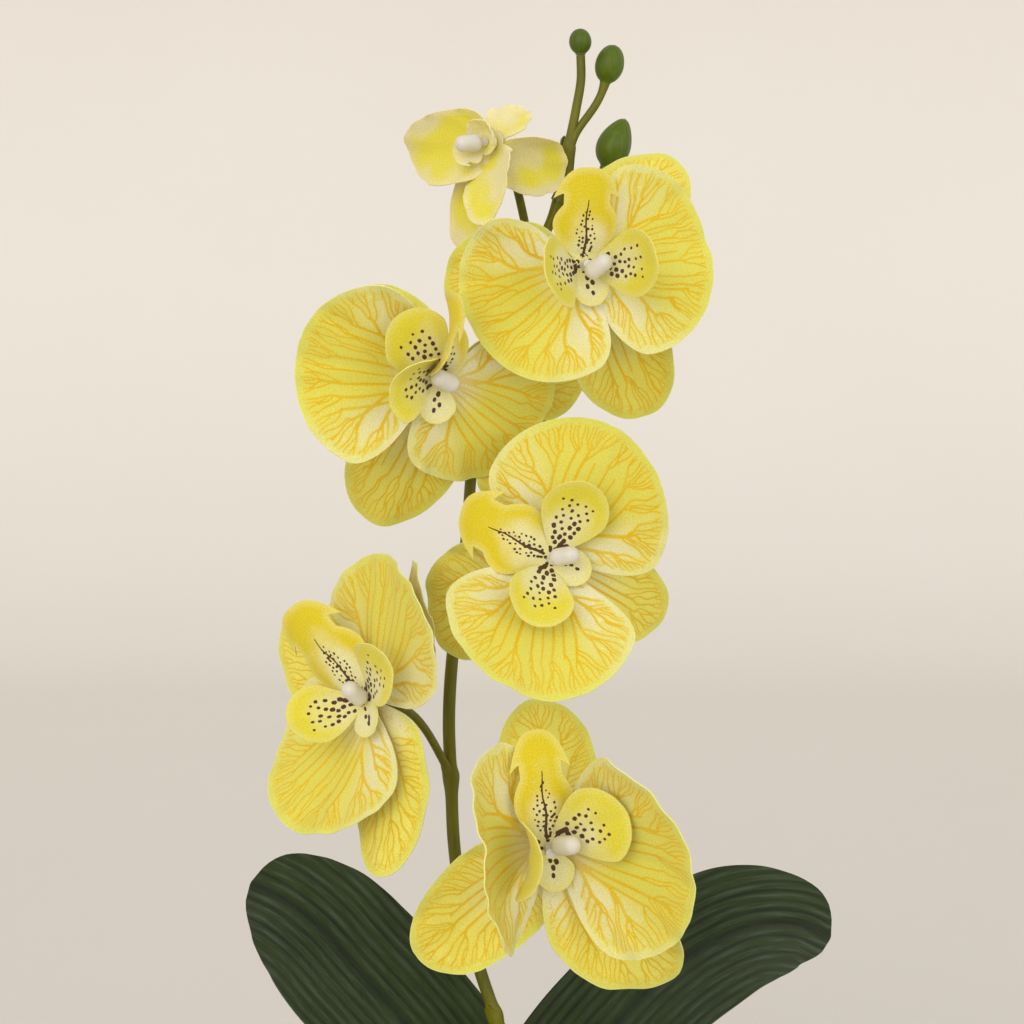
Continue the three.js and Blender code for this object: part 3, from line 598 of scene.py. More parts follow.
def cut_edge(shape, turn):
    """Distance from the axis to a lobe's cut edge: the oval's, rounded off at both sides."""
    begin = ROUND_FROM - np.where(turn < 0, shape["trim"], 0)
    aside = np.maximum(0, np.abs(turn) / widest(shape) - begin) / (1 - begin)
    rounded = 1 - ROUND_BY * (1 - np.sqrt(np.maximum(0, 1 - aside ** 2)))
    return np.maximum(LOBE_START + 0.6, reach(shape, turn) * rounded)


def bend(shape, x, y, lift):
    """The bent places of flat points, x along a lobe's midline and y to its right."""
    run = np.maximum(0, x - shape["level"])
    slope = math.radians(shape["tilt"])
    turn = math.radians(shape["curl"]) / shape["length"] or 1e-9
    heading = slope + turn * run
    out = np.minimum(x, shape["level"]) + (np.sin(heading) - math.sin(slope)) / turn
    rise = (math.cos(slope) - np.cos(heading)) / turn
    fold = math.radians(shape["cup"]) / shape["half"] or 1e-9
    across = np.sin(fold * y) / fold
    raised = (1 - np.cos(fold * y)) / fold + lift
    roll = math.radians(shape["twist"]) * (run / shape["length"]) ** shape["soon"]
    side = across * np.cos(roll) + raised * np.sin(roll)
    up = raised * np.cos(roll) - across * np.sin(roll)
    out = out - up * np.sin(heading)
    c, s = math.cos(math.radians(shape["at"])), math.sin(math.radians(shape["at"]))
    return np.stack([side * c - out * s, side * s + out * c, rise + up * np.cos(heading)], axis=1)


# ---------------------------------------------------------------------------
# Printed sheets. On the flat, a point is (across, along) in millimetres from the bloom's
# middle. A print is a set of strokes, each a straight piece from A to B with half a width.
# ---------------------------------------------------------------------------

def strokes_of(starts, ends, halves):
    starts, ends = np.asarray(starts, float), np.asarray(ends, float)
    return starts, ends, np.broadcast_to(np.asarray(halves, float), len(starts))


def away_from(points, strokes, furthest):
    """How far flat points are outside the nearest stroke, negative inside it. It is looked up
    tile by tile, so that each point meets only the strokes near it."""
    starts, ends, halves = strokes
    gaps = np.full(len(points), float(furthest))
    if not len(starts):
        return gaps
    tile = 8.0
    cells = np.floor(points / tile).astype(int)
    middles = (starts + ends) / 2
    for cell in np.unique(cells, axis=0):
        mine = (cells == cell).all(axis=1)
        low, high = cell * tile - furthest - 1, (cell + 1) * tile + furthest + 1
        near = ((middles > low) & (middles < high)).all(axis=1)
        if not near.any():
            continue
        a, ab, half = starts[near], (ends - starts)[near], halves[near]
        p = points[mine][:, None]
        t = ((p - a) * ab).sum(axis=2) / np.maximum((ab ** 2).sum(axis=1), 1e-9)
        nearest = a + np.clip(t, 0, 1)[..., None] * ab
        gap = np.linalg.norm(p - nearest, axis=2) - half
        gaps[mine] = np.minimum(gap.min(axis=1), furthest)
    return gaps


def inside(points, outline):
    """Which flat points lie inside a closed outline."""
    a, b = outline, np.roll(outline, -1, axis=0)
    x, y = points[:, :1], points[:, 1:]
    spans = (a[:, 1] > y) != (b[:, 1] > y)
    at = a[:, 0] + (y - a[:, 1]) * (b[:, 0] - a[:, 0]) / (b[:, 1] - a[:, 1] + 1e-12)
    return (spans & (x < at)).sum(axis=1) % 2 == 1


def even_points(outline, spacing):
    """A triangular grid over an outline's box."""
    low, high = outline.min(axis=0), outline.max(axis=0)
    rows = np.arange(low[1], high[1], spacing * 0.866)
    ticks = np.arange(low[0], high[0], spacing)
    return np.array([(x + spacing / 2 * (j % 2), y) for j, y in enumerate(rows) for x in ticks])


def stroke_points(strokes):
    """Points that let a mesh carry a print: on each stroke's line, on both sides of it, as far
    from its edge as the line is, and in a ring round each dot."""
    starts, ends, halves = strokes
    way = ends - starts
    length = np.linalg.norm(way, axis=1)
    way = way / np.maximum(length, 1e-9)[:, None]
    aside = np.stack([-way[:, 1], way[:, 0]], axis=1)
    dots = halves > 0.9 * length
    wide = 2 * halves[:, None]
    sides = [place[~dots] for place in (starts + aside * wide, starts - aside * wide,
                                        ends + aside * wide, ends - aside * wide)]
    for turn in np.arange(0.5, 10) * math.pi / 5:
        slant = way * math.cos(turn) + aside * math.sin(turn)
        nearer = ends if math.cos(turn) > 0 else starts
        sides.append((nearer + slant * (halves[:, None] + 0.28))[dots])
    return np.concatenate([starts, ends]), np.concatenate(sides)


def triangles(outline, inner):
    """Delaunay triangles within an outline, and where the outline's points went."""
    flat = np.concatenate([outline, inner])
    ring = len(outline)
    found = delaunay_2d_cdt([Vector(p) for p in flat], [], [tuple(range(ring))], 1, 1e-6)
    points, faces, origins = np.array([tuple(p) for p in found[0]]), found[2], found[3]
    where = np.zeros(ring, int)
    for k, origin in enumerate(origins):
        for source in origin:
            if source < ring:
                where[source] = k
    return points, [tuple(face) for face in faces], where


def printed_sheet(outline, strokes, surface, thickness, marks, spacing=1.9):
    """A closed thin sheet with a print on its front. The front's mesh has points along every
    stroke, and each point holds how far it is from the ink and from the cut edge."""
    edge = strokes_of(outline, np.roll(outline, -1, axis=0), 0)
    grid = even_points(outline, spacing)
    grid = grid[inside(grid, outline)]
    grid = grid[away_from(grid, edge, EDGE_REACH) > 0.45 * spacing]
    on_line, beside = stroke_points(strokes) if len(strokes[0]) else (grid[:0], grid[:0])
    beside = beside[away_from(beside, strokes, INK_REACH) > 0.12]
    open_grid = grid[away_from(grid, strokes, INK_REACH) > 0.55]
    inner = np.concatenate([on_line, beside, open_grid])
    # Of points that share a cell of this size, in millimetres, only the first stays.
    cell = 0.17
    _, first = np.unique(np.floor(inner / cell).astype(int), axis=0, return_index=True)
    inner = inner[np.sort(first)]
    inner = inner[inside(inner, outline)]
    inner = inner[away_from(inner, edge, EDGE_REACH) > 0.2]
    points, all_faces, extras = [], [], {}
    rings = []
    start = 0
    for sign, flat_inner in ((1, inner), (-1, grid)):
        flat, faces, where = triangles(outline, flat_inner)
        step = 0.02
        centre = surface(flat)
        across = surface(flat + (step, 0)) - surface(flat - (step, 0))
        along_it = surface(flat + (0, step)) - surface(flat - (0, step))
        normal = np.cross(across, along_it)
        normal /= np.maximum(np.linalg.norm(normal, axis=1, keepdims=True), 1e-9)
        points.append(centre + sign * normal * thickness / 2)
        all_faces += [tuple(start + k for k in face[::sign]) for face in faces]
        rings.append(where + start)
        bare = np.full(len(flat), INK_REACH)
        values = {"ink": away_from(flat, strokes, INK_REACH) if sign > 0 else bare,
                  "edge": away_from(flat, edge, EDGE_REACH), "cut": flat / 10, **marks(flat)}
        for key, value in values.items():
            extras.setdefault(key, []).append(value)
        start += len(flat)
    front, back = rings
    for k in range(len(outline)):
        n = (k + 1) % len(outline)
        all_faces.append((front[n], front[k], back[k], back[n]))
    return (np.concatenate(points), all_faces,
            {key: np.concatenate(values) for key, values in extras.items()})


def lobe_outline(shape, seed, fray):
    """The cut edge of a lobe, counter-clockwise as seen from the front, with the small
    unevenness of woven fabric cut with a die."""
    fan = widest(shape)
    turn = np.linspace(fan, -fan, 170)
    rng = np.random.default_rng(seed)
    fine = np.convolve(rng.normal(size=174), np.ones(5) / 5, "valid")
    radius = cut_edge(shape, turn) - fray * np.abs(fine)
    far = np.stack([radius * np.sin(turn), radius * np.cos(turn)], axis=1)
    steps = int((radius[0] - LOBE_START) / 1.1) + 2
    down = np.linspace(radius[-1], LOBE_START, steps)[1:]
    up = np.linspace(LOBE_START, radius[0], steps)[:-1]
    foot = np.linspace(-fan, fan, 8)[1:-1]
    sides = [np.stack([down * math.sin(-fan), down * math.cos(fan)], axis=1),
             np.stack([LOBE_START * np.sin(foot), LOBE_START * np.cos(foot)], axis=1),
             np.stack([up * math.sin(fan), up * math.cos(fan)], axis=1)]
    return np.concatenate([far] + sides)


def share_out(shape, flat):
    """How far out flat points lie on a lobe, from 0 at its foot to 1 at the oval, and their
    share of the way to its side."""
    turn = np.arctan2(flat[:, 0], flat[:, 1])
    radius = np.hypot(flat[:, 0], flat[:, 1])
    out = (radius - LOBE_START) / (reach(shape, turn) - LOBE_START)
    return np.clip(out, 0, 1.1), np.clip(turn / widest(shape), -1.1, 1.1)


def lobe_surface(shape, seed, ripple):
    """Where flat points of a lobe go: a pressed groove down its middle, the bend, and small
    waves that grow towards its edge."""
    def surface(flat):
        out, aside = share_out(shape, flat)
        turn = aside * widest(shape)
        rough = (np.sin(turn * 17 + seed * 2.1) + 0.7 * np.sin(turn * 31 + seed * 5.3)
                 + 0.5 * np.sin(turn * 9 + seed * 3.7))
        groove = -0.4 * np.exp(-(flat[:, 0] / 1.6) ** 2) * smoothstep(out, 0.05, 0.3)
        groove = groove * (1 - smoothstep(out, 0.7, 0.95))
        pleats = (np.sin(turn * 12 + seed * 1.3) + 0.6 * np.sin(turn * 21 + seed * 4.1)
                  * np.sin(out * 5 + seed)) * smoothstep(out, 0.15, 0.5)
        lift = (shape["wave"] * out ** 3 * np.sin(turn * shape["waves"] * 2)
                + 0.6 * ripple * pleats + ripple * out ** 5 * rough + groove)
        return bend(shape, flat[:, 1], flat[:, 0], lift)
    return surface


def lobe_veins(shape, seed, petal):
    """The print of a petal or sepal as strokes. Long veins run up its middle and stout ones to
    its sides. Fine ones start all round the rim and run in until they meet another, so that
    they fork outwards and stand like the teeth of a comb."""
    rng = np.random.default_rng(100 + seed)
    step = VEIN_STEP
    finest, stoutest = PETAL_VEINS if petal else SEPAL_VEINS
    length, half, fan = shape["length"], shape["half"], widest(shape)
    points, parents = [(0.0, LOBE_START)], [-1]

    def lay(path, last):
        for spot in path:
            points.append(tuple(spot))
            parents.append(last)
            last = len(points) - 1

    # The long veins' places across the lobe, as shares of half its width.
    lanes = ((-0.48, -0.34, -0.2, -0.07, 0.07, 0.21, 0.34, 0.47) if petal
             else (-0.56, -0.34, -0.11, 0.12, 0.33, 0.55))
    for lane in lanes:
        lane += rng.normal(0, 0.012)
        along_it = np.arange(LOBE_START + step, 0.97 * length, step)
        share = along_it / length
        spread = 0.1 + 0.9 * np.sin(np.minimum(1, share / 0.85) * math.pi / 2)
        if not petal:
            narrower = 1 - np.maximum(0, share / 0.5 - 1) ** 2 * 0.7
            spread = spread * np.sqrt(np.maximum(0.2, narrower))
        sway = 0.3 * np.sin(along_it * 0.3 + rng.uniform(0, 6)) * share
        path = np.stack([half * lane * spread + sway, along_it], axis=1)
        turn = np.arctan2(path[:, 0], path[:, 1])
        top = rng.uniform(0.72, 0.84) if petal else rng.uniform(0.66, 0.8)
        lay(path[np.hypot(path[:, 0], path[:, 1]) < top * reach(shape, turn)], 0)
    if petal:
        # Stout veins: how far round to the side they turn, and how far out they end.
        for side in (-1, 1):
            for end, out_to in ((0.54, 0.72), (0.74, 0.62), (0.9, 0.4)):
                end += rng.normal(0, 0.02)
                reach_to = out_to * float(reach(shape, end * fan))
                t = np.linspace(0.04, 1, int(reach_to / step))
                radius = LOBE_START + (reach_to - LOBE_START) * t
                turn = side * end * fan * (0.55 + 0.45 * t ** 0.9)
                turn = turn + 0.03 * np.sin(t * 9 + rng.uniform(0, 6))
                lay(np.stack([radius * np.sin(turn), radius * np.cos(turn)], axis=1), 0)
    stout = np.array(points[1:])

    outline = lobe_outline(shape, seed, 0)
    round_it = np.linalg.norm(np.diff(outline, axis=0, append=outline[:1]), axis=1).cumsum()
    spacing = 1.6 if petal else 2.0
    starts = np.arange(0, round_it[-1], spacing)
    starts = starts + rng.uniform(-0.3, 0.3, len(starts)) * spacing
    middle = np.array((0.0, 0.5 * length))
    tips = np.stack([np.interp(starts, round_it, outline[:, k]) for k in (0, 1)], axis=1)
    inwards = middle - tips
    inwards /= np.linalg.norm(inwards, axis=1, keepdims=True)
    tips = tips + inwards * rng.uniform(1.6, 3.2, (len(tips), 1))
    tips = tips[np.linalg.norm(tips, axis=1) > 0.34 * length]
    for tip in tips[rng.permutation(len(tips))]:
        path, phase, slant = [tip], rng.uniform(0, 6), rng.uniform(0.25, 0.8)
        known = np.array(points)
        for k in range(60):
            spot = path[-1]
            gap = np.linalg.norm(known - spot, axis=1).min()
            if gap < 0.8 * step or np.linalg.norm(spot) < 0.15 * length:
                break
            # In towards the foot, more squarely from the rim, with a slant to a stout vein.
            own = spot - middle
            out = spot / np.linalg.norm(spot) + 0.5 * own / max(np.linalg.norm(own), 1e-9)
            aim = stout[np.linalg.norm(stout - spot, axis=1).argmin()] - spot
            way = slant * aim / np.linalg.norm(aim) - out / np.linalg.norm(out)
            sway = 0.17 * math.sin(0.5 * k + phase)
            way = way / np.linalg.norm(way) + sway * np.array((-way[1], way[0]))
            path.append(spot + step * way / np.linalg.norm(way))
        lay(path[::-1], int(np.linalg.norm(known - path[-1], axis=1).argmin()))

    points, parents = np.array(points), np.array(parents)
    kids = np.bincount(parents[1:], minlength=len(points))
    weight = (kids == 0).astype(float)
    for k in range(len(points) - 1, 0, -1):
        weight[parents[k]] += weight[k]
    eased = points.copy()
    for k in range(1, len(points)):
        last = parents[k]
        if last > 0 and kids[last] == 1:
            eased[last] = 0.5 * points[last] + 0.25 * (points[k] + points[parents[last]])
    widths = np.clip(finest * weight ** 0.34, finest, stoutest)
    return strokes_of(eased[parents[1:]], eased[1:], widths[1:])


NO_STROKES = (np.zeros((0, 2)), np.zeros((0, 2)), np.zeros(0))


def scattered(rng, tries, draw):
    """Dots drawn one after the other, each kept clear of the earlier ones. Draw gives a dot's
    (across, along), half width, half length and least distance to its neighbours."""
    kept = []
    for _ in range(tries):
        spot, half, long, apart = draw(rng)
        if all(math.dist(spot, other[0]) > (apart + other[3]) / 2 for other in kept):
            kept.append((spot, half, long, apart))
    return kept


def dot_strokes(dots):
    """Dots as short strokes that point away from the bloom's middle."""
    starts, ends, halves = [], [], []
    for (x, y), half, long, _ in dots:
        out = np.array((x, y)) / math.hypot(x, y)
        starts.append(np.array((x, y)) - out * long)
        ends.append(np.array((x, y)) + out * long)
        halves.append(half)
    return strokes_of(starts, ends, halves)


def side_dots(shape, seed):
    """A side lobe's dots: large and crowded at its foot, finer and further apart outwards."""
    nearest, furthest = 2.7, 0.72 * shape["length"]

    def draw(rng):
        share = rng.uniform(0, 1)
        out = nearest + (furthest - nearest) * share
        across = rng.uniform(-1, 1) * (2.0 + 3.7 * share ** 0.8)
        size = (0.76 - 0.3 * share) * rng.uniform(0.82, 1.15)
        long = size * rng.uniform(0.1, 0.6) * (1 - 0.6 * share)
        return (across, out), size, long, 1.56 + 0.66 * share

    return dot_strokes(scattered(np.random.default_rng(300 + seed), 900, draw))


def short_dots(shape, seed):
    """A short lobe's dots, in a narrow band up its middle."""
    nearest, furthest = 3.4, 0.72 * shape["length"]

    def draw(rng):
        share = rng.uniform(0, 1)
        out = nearest + (furthest - nearest) * share
        size = 0.6 * rng.uniform(0.85, 1.15)
        return (rng.uniform(-1, 1) * (1.3 - 0.5 * share), out), size, size * 0.4, 1.8

    return dot_strokes(scattered(np.random.default_rng(400 + seed), 160, draw))


def long_marks(shape, seed):
    """The long lobe's print: a dark line that thins out, and fine dots on both sides of it."""
    rng = np.random.default_rng(500 + seed)
    line_from, line_to = 2.8, 0.68 * shape["length"]
    dots_from, dots_to = 3.0, 0.58 * shape["length"]
    along_it = np.arange(line_from, line_to, 0.7)
    share = (along_it - line_from) / (line_to - line_from)
    path = np.stack([0.3 * np.sin(along_it * 0.5 + seed), along_it], axis=1)
    line = strokes_of(path[:-1], path[1:], (0.46 - 0.34 * share)[:-1])

    def draw(rng):
        share = rng.uniform(0, 1)
        out = dots_from + (dots_to - dots_from) * share
        wide = 1.0 + 2.3 * math.sin(math.pi * min(1, share * 1.05)) ** 1.2
        size = (0.38 - 0.12 * share) * rng.uniform(0.8, 1.15)
        return (rng.uniform(-1, 1) * wide, out), size, size * rng.uniform(0.1, 0.5), 1.14

    dots = dot_strokes(scattered(rng, 500, draw))
    return tuple(np.concatenate(pair) for pair in zip(line, dots))


def hub_marks(seed):
    """The dots round the foot of the column."""
    def draw(rng):
        out, turn = rng.uniform(1.6, 3.7), rng.uniform(0, 2 * math.pi)
        size = rng.uniform(0.5, 0.62)
        return (out * math.cos(turn), out * math.sin(turn)), size, size * 0.3, 1.55

    return dot_strokes(scattered(np.random.default_rng(600 + seed), 120, draw))


def fluke_outline(shape):
    """The lip's long lobe, cut flat: narrow at its foot, wide in the middle, and ending in a
    fluke whose two points hook outwards and back."""
    length, half = shape["length"], shape["half"]
    neck, neck_half = 0.74 * length, 0.7 * half

    def flat(s, v):
        t = min(1, v / 0.7)
        width = half * (0.22 + 0.78 * math.sin(math.pi * min(1, t * 0.86 + 0.06)) ** 1.15)
        width = width if t < 0.5 else max(width, neck_half)
        x, y = LOBE_START + (neck - LOBE_START) * t, s * width
        grown = max(0, (v - 0.7) / 0.3)
        end_x = length - 0.32 * length * abs(s) ** 2.6
        end_y = half * 1.02 * math.copysign(abs(s) ** 0.9, s)
        return y + (end_y - y) * grown ** 0.8, x + (end_x - x) * grown

    ups = np.linspace(0, 1, 60)
    path = [flat(s, 0) for s in np.linspace(-1, 1, 8)[:-1]]
    path += [flat(1, v) for v in ups[:-1]]
    path += [flat(s, 1) for s in np.linspace(1, -1, 60)[:-1]]
    path += [flat(-1, v) for v in ups[:0:-1]]
    return np.array(path)


def fluke_surface(shape):
    """Where flat points of the long lobe go: the bend, and a groove pressed in its foot."""
    def surface(flat):
        share = flat[:, 1] / shape["length"]
        groove = 0.5 * np.exp(-(flat[:, 0] / 1.3) ** 2) * smoothstep(share, 0.08, 0.2)
        groove = groove * (1 - smoothstep(share, 0.4, 0.6))
        return bend(shape, flat[:, 1], flat[:, 0], -groove)
    return surface


def ring_outline(radius, count=40):
    turn = np.linspace(0, 2 * math.pi, count, endpoint=False)
    return radius * np.stack([np.cos(turn), np.sin(turn)], axis=1)


def flat_surface(flat):
    return np.concatenate([flat, np.zeros((len(flat), 1))], axis=1)


def lobe_marks(shape, seed, kind):
    """What a lobe's material looks up besides the print: fan is (share of the way to the
    side, share of the way out). Kind tells a lip's lobes apart, 0 the long one, 1 a side one
    and 2 the short one; on sepals and petals it is the share left undyed."""
    def marks(flat):
        out, aside = share_out(shape, flat)
        return {"fan": np.stack([aside, out], axis=1),
                "lobe": np.full(len(flat), float(seed)),
                "kind": np.full(len(flat), float(kind))}
    return marks


def hub_marks_plain(kind):
    """The same for the round middle of a sheet, which looks like a lobe's foot."""
    def marks(flat):
        return {"fan": np.zeros((len(flat), 2)), "lobe": np.zeros(len(flat)),
                "kind": np.full(len(flat), float(kind))}
    return marks


# ---------------------------------------------------------------------------
# Materials
# ---------------------------------------------------------------------------

MATH = "ShaderNodeMath"
MIX = "ShaderNodeMix"
RANGE = "ShaderNodeMapRange"
NOISE = "ShaderNodeTexNoise"
VORONOI = "ShaderNodeTexVoronoi"
SPLIT = "ShaderNodeSeparateXYZ"
JOIN = "ShaderNodeCombineXYZ"
BLEND = {"data_type": "RGBA", "out": 2}
SMOOTH = {"interpolation_type": "SMOOTHSTEP"}
CLOTH = {"Roughness": 0.8, "Sheen_Weight": 0.15, "Sheen_Roughness": 0.5,
         "Specular_IOR_Level": 0.2}


def wire(tree, kind, feeds=(), out=0, **settings):
    """Adds a node with its settings, feeds its inputs with values or sockets, and returns one
    of its outputs. Feeds are a list in order or a dictionary by socket name or number."""
    node = tree.nodes.new(kind)
    for key, value in settings.items():
        setattr(node, key, value)
    pairs = feeds.items() if isinstance(feeds, dict) else enumerate(feeds)
    for key, feed in pairs:
        if isinstance(feed, bpy.types.NodeSocket):
            tree.links.new(feed, node.inputs[key])
        elif feed is not None:
            node.inputs[key].default_value = feed
    return node.outputs[out]


def new_material(name, **plain):
    """A material whose surface is one principled shader; plain values go on its sockets."""
    material = bpy.data.materials.new(name)
    material.use_nodes = True
    tree = material.node_tree
    shader = tree.nodes["Principled BSDF"]
    for socket, value in plain.items():
        shader.inputs[socket.replace("_", " ")].default_value = value
    return material, tree, shader


def dress(tree, shader, shade, height, strength, distance, gloss=None):
    """Gives a shader its colour, a bump from a height and, where it varies, its roughness."""
    relief = {"Strength": strength, "Distance": distance, "Height": height}
    bump = wire(tree, "ShaderNodeBump", relief, out="Normal")
    tree.links.new(shade, shader.inputs["Base Color"])
    tree.links.new(bump, shader.inputs["Normal"])
    if gloss is not None:
        tree.links.new(gloss, shader.inputs["Roughness"])


def weave(tree, cut, threads):
    """The height of a plain weave with so many threads to the centimetre."""
    waves = []
    for axis in ("X", "Y"):
        turns = wire(tree, MATH, [wire(tree, SPLIT, [cut], out=axis), 2 * math.pi * threads],
                     operation="MULTIPLY")
        waves.append(wire(tree, MATH, [turns], operation="SINE"))
    return wire(tree, MATH, waves, operation="MULTIPLY")


def dress_cloth(tree, shader, cut, shade):
    """Finishes a shader as plainly woven cloth. Its threads are drawn 0.38 mm apart, about
    twice the real spacing, so that they show. They take up the dye unevenly, which leaves a
    grain of lighter and darker specks, drawn 0.5 mm across."""
    specks = wire(tree, NOISE, {"Vector": cut, "Scale": 20.0, "Detail": 1.0})
    light = wire(tree, RANGE, [specks, 0.25, 0.75, 0.9, 1.1])
    shade = wire(tree, "ShaderNodeVectorMath", {0: shade, "Scale": light}, operation="SCALE")
    soft = wire(tree, NOISE, {"Vector": cut, "Scale": 2.2, "Detail": 3.0})
    height = wire(tree, MATH, [soft, 5.0, weave(tree, cut, 26)], operation="MULTIPLY_ADD")
    dress(tree, shader, shade, height, 0.6, 0.00006)


def on_cloth(tree):
    """The place on a sheet as it was cut, in centimetres, and the same moved on from lobe to
    lobe, so that no two lobes get the same clouds."""
    cut = wire(tree, "ShaderNodeUVMap", uv_map="cut")
    lobe = wire(tree, "ShaderNodeAttribute", attribute_name="lobe", out="Fac")
    apart = wire(tree, JOIN, [0.0, 0.0, lobe])
    return cut, wire(tree, "ShaderNodeVectorMath", [cut, apart], operation="ADD")


def petal_print(name, settings, ground, petal):
    """Woven polyester, dyed and printed: matt, with a faint bloom of loose fibres, a pale
    foot, golden veins whose dye has run a little, and whitish wedges between them."""
    material, t, shader = new_material(name, **CLOTH)
    cut, where = on_cloth(t)
    fan = wire(t, "ShaderNodeUVMap", uv_map="fan")
    u = wire(t, SPLIT, [fan], out="X")
    v = wire(t, SPLIT, [fan], out="Y")
    ink = wire(t, "ShaderNodeAttribute", attribute_name="ink", out="Fac")
    edge = wire(t, "ShaderNodeAttribute", attribute_name="edge", out="Fac")
    undyed = wire(t, "ShaderNodeAttribute", attribute_name="kind", out="Fac")
    # Ground: lemon, greener at the rim, with clouds of stronger yellow.
    cloud = wire(t, NOISE, {"Vector": where, "Scale": 0.55, "Detail": 2.0})
    cloud = wire(t, RANGE, [cloud, 0.38, 0.68, 0.0, 0.4])
    rim = wire(t, RANGE, [edge, 0.3, 5.0, 1.0, 0.0], **SMOOTH)
    shade = wire(t, MIX, {0: cloud, 6: tuple(ground), 7: linear("#e5d648")}, **BLEND)
    shade = wire(t, MIX, {0: rim, 6: shade, 7: tuple(settings.rim)}, **BLEND)
    # Whitish: the foot, what lies between the branches at the sides, and what is left undyed.
    aside = wire(t, RANGE, [wire(t, MATH, [u], operation="ABSOLUTE"), 0.3, 0.72, 0.0, 1.0],
                 **SMOOTH)
    outwards = wire(t, RANGE, [v, 0.4, 0.92, 1.0, 0.4 if petal else 0.0], **SMOOTH)
    open_part = wire(t, RANGE, [ink, 0.05, 0.5, 0.4, 1.0])
    wedge = wire(t, MATH, [wire(t, MATH, [aside, outwards], operation="MULTIPLY"), open_part],
                 operation="MULTIPLY")
    foot = wire(t, RANGE, [v, 0.1, 0.42 if petal else 0.72, 0.9, 0.0], **SMOOTH)
    paleness = wire(t, MATH, [wedge, foot], operation="MAXIMUM")
    paleness = wire(t, MATH, [paleness, undyed], operation="MAXIMUM")
    shade = wire(t, MIX, {0: paleness, 6: shade, 7: tuple(settings.pale)}, **BLEND)
    # Round each vein the dye has run, which warms the yellow there.
    halo = wire(t, RANGE, [ink, 0.0, 0.6, 0.25, 0.0], **SMOOTH)
    shade = wire(t, MIX, {0: halo, 6: shade, 7: linear("#e8cc34")}, **BLEND)
    uneven = wire(t, NOISE, {"Vector": where, "Scale": 9.0, "Detail": 2.0})
    thread = wire(t, MATH, [uneven, 0.22, wire(t, MATH, [ink, 0.11], operation="SUBTRACT")],
                  operation="MULTIPLY_ADD")
    vein = wire(t, RANGE, [thread, -0.12, 0.13, 1.0, 0.0], **SMOOTH)
    strength = wire(t, NOISE, {"Vector": where, "Scale": 1.3, "Detail": 1.0})
    strength = wire(t, RANGE, [strength, 0.3, 0.7, 0.7, 1.0])
    at_rim = wire(t, RANGE, [edge, 1.2, 3.4, 0.15, 1.0], **SMOOTH)
    at_foot = wire(t, RANGE, [v, 0.1, 0.4, 0.3, 1.0])
    strength = wire(t, MATH, [wire(t, MATH, [strength, at_rim], operation="MULTIPLY"), at_foot],
                    operation="MULTIPLY")
    vein = wire(t, MATH, [vein, strength], operation="MULTIPLY")
    if not petal:
        # A net of finer veins joins the ends of the long ones near a sepal's edge.
        bent = wire(t, NOISE, {"Vector": where, "Scale": 3.0}, out="Color")
        bent = wire(t, "ShaderNodeVectorMath", {0: bent, "Scale": 0.22}, operation="SCALE")
        net_where = wire(t, "ShaderNodeVectorMath", [where, bent], operation="ADD")
        cells = wire(t, VORONOI, {"Vector": net_where, "Scale": 3.6, "Randomness": 0.9},
                     feature="DISTANCE_TO_EDGE")
        lines = wire(t, RANGE, [cells, 0.03, 0.09, 1.0, 0.0], **SMOOTH)
        band = wire(t, MATH, [
            wire(t, RANGE, [edge, 0.8, 2.0, 0.0, 0.45], **SMOOTH),
            wire(t, RANGE, [edge, 3.0, 5.0, 1.0, 0.0], **SMOOTH)],
            operation="MULTIPLY")
        # The back, where no ink is near, has no print.
        on_front = wire(t, MATH, [ink, INK_REACH - 0.1], operation="LESS_THAN")
        band = wire(t, MATH, [band, on_front], operation="MULTIPLY")
        vein = wire(t, MATH, [vein, wire(t, MATH, [lines, band], operation="MULTIPLY")],
                    operation="MAXIMUM")
    shade = wire(t, MIX, {0: vein, 6: shade, 7: tuple(settings.vein)}, **BLEND)
    cut_line = wire(t, RANGE, [edge, 0.05, 0.45, 0.4, 0.0])
    shade = wire(t, MIX, {0: cut_line, 6: shade, 7: linear("#f1ecb4")}, **BLEND)
    dress_cloth(t, shader, cut, shade)
    return material


